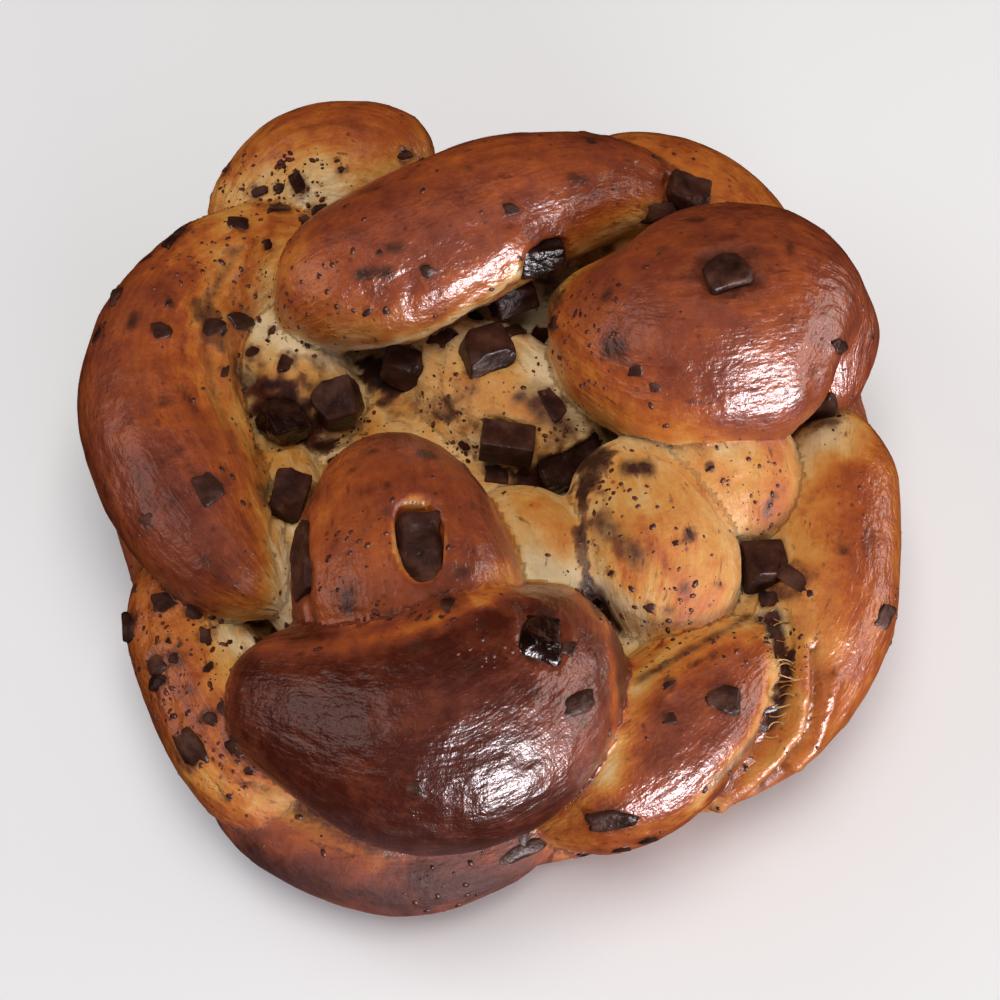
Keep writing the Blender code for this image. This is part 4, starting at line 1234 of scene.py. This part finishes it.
def lay_chips(points, surface, layers, tree, ragged, crust):
    """All chips: those the photograph shows, and more of the same over the hidden sides. The skin
    takes a stain and a small rim round each."""
    chance = random.Random("chips")
    shapes = chip_shapes()
    beds = []
    for x, y, length, width, turn in CHIPS:
        place, normal = place_seen((x, y), surface)
        long_axis = axis_seen(normal, turn) * length
        short_axis = axis_seen(normal, turn + 90) * width
        beds.append((place, normal, long_axis, short_axis, width))
    normals = read_normals(crust)
    smallest, largest = HIDDEN_CHIP_SIZES
    mostly_small = 2.5
    while len(beds) < len(CHIPS) + HIDDEN_CHIPS:
        index = chance.randrange(len(points))
        place = Vector(points[index])
        normal = Vector(normals[index])
        if place.z < LOWEST_CHIP * MM or is_in_view(place, normal, surface):
            continue
        length = smallest + (largest - smallest) * chance.random() ** mostly_small
        width = length * chance.uniform(*HIDDEN_CHIP_WIDTHS)
        across = normal.orthogonal().normalized()
        across.rotate(Matrix.Rotation(chance.uniform(0, math.tau), 3, normal))
        beds.append((place, normal, across * length, normal.cross(across) * width, width))

    copies = []
    widest_reach = 2.2
    usual_reach = 1.9
    raggedness = 0.3
    stain_gain = 1.1
    rim_gain = 1.2
    rise = np.zeros(len(points))
    for place, normal, long_axis, short_axis, width in beds:
        shape, faces = chance.choice(shapes)
        depth = min(width * CHIP_DEPTH_SHARE, CHIP_DEEPEST)
        lean = Vector([chance.uniform(-CHIP_LEAN, CHIP_LEAN) for _ in range(3)])
        upright = (normal + lean).normalized() * depth
        centre = place - normal * depth * (0.5 - CHIP_PROUD_SHARE) * MM
        axes = np.array((long_axis, short_axis, upright)) * MM * CHIP_SHARE
        copies.append((shape @ axes + np.array(centre), faces))
        reach = (long_axis.length + short_axis.length) / 4 * MM
        for _, index, distance in tree.find_range(place, reach * widest_reach):
            edge = reach * (usual_reach + raggedness * ragged[index])
            near = max(0.0, 1 - distance / edge)
            stain = min(CHIP_STAIN, near * stain_gain)
            layers["stain"][index] = max(layers["stain"][index], stain)
            rim = CHIP_RIM * MM * math.sin(math.pi * min(1, near * rim_gain))
            rise[index] = max(rise[index], rim)
    points += normals * rise[:, None]
    write_points(crust, points)
    return copies


def lay_specks(points, normals, surface, tree, bake):
    """Flat crumbs and dust of chocolate: thick in drifts, and thin elsewhere, more so on pale dough."""
    chance = random.Random("specks")
    bpy.ops.mesh.primitive_ico_sphere_add(subdivisions=1, radius=0.5)
    grain = bpy.context.object
    shape = read_points(grain)
    faces = [tuple(face.vertices) for face in grain.data.polygons]
    bpy.data.objects.remove(grain, do_unlink=True)
    drift = noise_at(points / (SPECK_PATCHES * MM), DRIFT_SEED)
    usual_share = 0.4
    patchiness = 0.9
    paleness_limit = 1.1
    beds = []
    for x, y, radius, count in DRIFTS:
        near = tree.find_range(place_seen((x, y), surface)[0], radius * MM)
        beds += [chance.choice(near)[1] for _ in range(count)]
    while len(beds) < SPECKS:
        index = chance.randrange(len(points))
        if points[index, 2] <= LOWEST_SPECK * MM:
            continue
        share = (usual_share + patchiness * drift[index]) * (paleness_limit - bake[index])
        if chance.random() < share:
            beds.append(index)
    smallest, largest = SPECK_SIZES
    mostly_small = 3
    copies = []
    for index in beds:
        normal = Vector(normals[index])
        across = normal.orthogonal().normalized()
        across.rotate(Matrix.Rotation(chance.uniform(0, math.tau), 3, normal))
        size = smallest + (largest - smallest) * chance.random() ** mostly_small
        length = size * chance.uniform(1, SPECK_LONGEST_SHARE)
        axes = np.array((across * length, normal.cross(across) * size,
                         normal * size * SPECK_THICKNESS_SHARE)) * MM
        copies.append((shape @ axes + points[index], faces))
    return copies


def pull_threads(surface):
    """Threads from one side of the tear to the other, thin half way and rooted in the dough."""
    root = 1.3
    thinning = 0.7
    chance = random.Random("threads")
    turns = np.linspace(0, math.tau, THREAD_SIDES, endpoint=False)
    copies = []
    for pixels in THREADS:
        (start, start_normal), (end, end_normal) = (place_seen(pixel, surface) for pixel in pixels)
        along = (end - start).normalized()
        up = (start_normal + end_normal).normalized()
        side = along.cross(up).normalized()
        bend = side * chance.uniform(-THREAD_MOST_BEND, THREAD_MOST_BEND) * MM
        radius = THREAD_RADIUS * chance.uniform(*THREAD_RADIUS_SHARES) * MM
        rings = []
        for k in range(THREAD_RINGS):
            share = k / (THREAD_RINGS - 1)
            arch = 4 * share * (1 - share)
            lift = up * (THREAD_ARCH * arch - THREAD_SINK) * MM
            centre = start.lerp(end, share) + bend * arch + lift
            thickness = radius * (root - thinning * arch)
            rings += [centre + (side * math.cos(a) + up * math.sin(a)) * thickness for a in turns]
        last = len(rings) - 1
        faces = [tuple(range(THREAD_SIDES)), tuple(range(last, last - THREAD_SIDES, -1))]
        for k in range(THREAD_RINGS - 1):
            for n in range(THREAD_SIDES):
                a = k * THREAD_SIDES + n
                b = k * THREAD_SIDES + (n + 1) % THREAD_SIDES
                faces.append((a, a + THREAD_SIDES, b + THREAD_SIDES, b))
        copies.append((np.array(rings), faces))
    return copies


# Stage.

def make_stage():
    """A sheet of pale paper under the loaf, which shows but neither lights it nor glints on it."""
    metres_across = 6
    bpy.ops.mesh.primitive_plane_add(size=metres_across)
    floor = bpy.context.object
    floor.name = "floor"
    made, _, shader = new_material("pale_matte_paper")
    shader.inputs["Base Color"].default_value = paint("#e9eaec")
    shader.inputs["Roughness"].default_value = 0.9
    shader.inputs["Specular IOR Level"].default_value = 0.0
    floor.data.materials.append(made)
    floor.visible_glossy = False
    floor.visible_diffuse = False


def add_light(name, place, aim, size, power, colour, mirrored, lighting):
    """A soft rectangular light. One that isn't mirrored lights the crust without glinting on it, and
    one without lighting only glints."""
    lamp = bpy.data.lights.new(name, "AREA")
    lamp.shape = "RECTANGLE"
    lamp.size, lamp.size_y = size
    lamp.energy = power
    lamp.color = colour[:3]
    made = bpy.data.objects.new(name, lamp)
    bpy.context.scene.collection.objects.link(made)
    made.location = place
    made.rotation_euler = (Vector(aim) - Vector(place)).to_track_quat("-Z", "Y").to_euler()
    made.visible_camera = False
    made.visible_glossy = mirrored
    made.visible_diffuse = lighting


def make_lights():
    """A low window at the front right with its glint and the glow round it, another at the right, a
    soft ceiling, and a little light and glow from the left. Places and sizes are in metres."""
    middle = (0, 0, 0.03)
    room_strength = 0.16
    for name, place, size, power, hexcode, mirrored, lighting in (
            ("window", (0.48, -1.08, 0.17), (0.64, 0.26), 12.8, "#f8f6ff", False, True),
            ("window_glint", (0.66, -0.96, 0.33), (0.68, 0.32), 31, "#f8f6ff", True, False),
            ("window_glow", (0.72, -0.92, 0.41), (1.0, 0.68), 18, "#fff2f0", True, False),
            ("side_window", (0.70, 0.02, 0.16), (0.50, 0.26), 2.0, "#fff4ee", True, True),
            ("left_glow", (-0.75, -0.15, 0.50), (0.7, 0.6), 1.8, "#fff0ec", True, False),
            ("ceiling", (0.0, 0.05, 1.3), (0.9, 0.9), 11.6, "#fffaf4", False, True),
            ("left_sky", (-0.8, 0.12, 0.52), (0.7, 0.5), 2.4, "#f4f2fa", False, True)):
        add_light(name, place, middle, size, power, paint(hexcode), mirrored, lighting)
    world = bpy.data.worlds.new("soft_room")
    bpy.context.scene.world = world
    world.use_nodes = True
    world.cycles_visibility.glossy = False
    background = world.node_tree.nodes["Background"]
    background.inputs["Color"].default_value = paint("#eef0f4")
    background.inputs["Strength"].default_value = room_strength
    bpy.context.scene.view_settings.view_transform = "Standard"


def make_camera():
    lens = bpy.data.cameras.new("camera")
    lens.sensor_width = SENSOR
    lens.lens = FOCAL_PIXELS * SENSOR / FRAME_PIXELS
    lens.shift_x = (FRAME_PIXELS / 2 - TARGET_PIXEL[0]) / FRAME_PIXELS
    lens.shift_y = (TARGET_PIXEL[1] - FRAME_PIXELS / 2) / FRAME_PIXELS
    camera = bpy.data.objects.new("camera", lens)
    bpy.context.scene.collection.objects.link(camera)
    camera.location = CAMERA_PLACE
    axes = Matrix((CAMERA_RIGHT, CAMERA_UP, TO_CAMERA)).transposed()
    camera.rotation_euler = axes.to_euler()
    bpy.context.scene.camera = camera


def main():
    make_camera()
    make_stage()
    make_lights()
    chopped = couverture("chopped_dark_couverture", ("#22110e", "#3d221a", "#573629"),
                         gloss_range=(0.30, 0.50), specular=0.25)
    crust, points, ragged, tree, surface, layers, mapped = make_crust()
    chips = lay_chips(points, surface, layers, tree, ragged, crust)
    finish_crust(crust, layers, mapped, egg_washed_crust())
    build_scatter("chocolate_chips", chips, chopped)
    specks = lay_specks(points, read_normals(crust), surface, tree, layers["bake"])
    build_scatter("chocolate_specks", specks, cocoa_crumbs())
    build_scatter("dough_threads", pull_threads(surface), torn_dough())
    melted = couverture("melted_dark_couverture", ("#120806", "#22100c", "#38201a"),
                        gloss_range=(0.12, 0.30), specular=0.5)
    for node, (centre, size, turn) in CHUNKS.items():
        melting = CHUNK_STATE[node][1]
        make_chunk(node, centre, size, turn, melted if melting >= MELTED_THROUGH else chopped)


main()
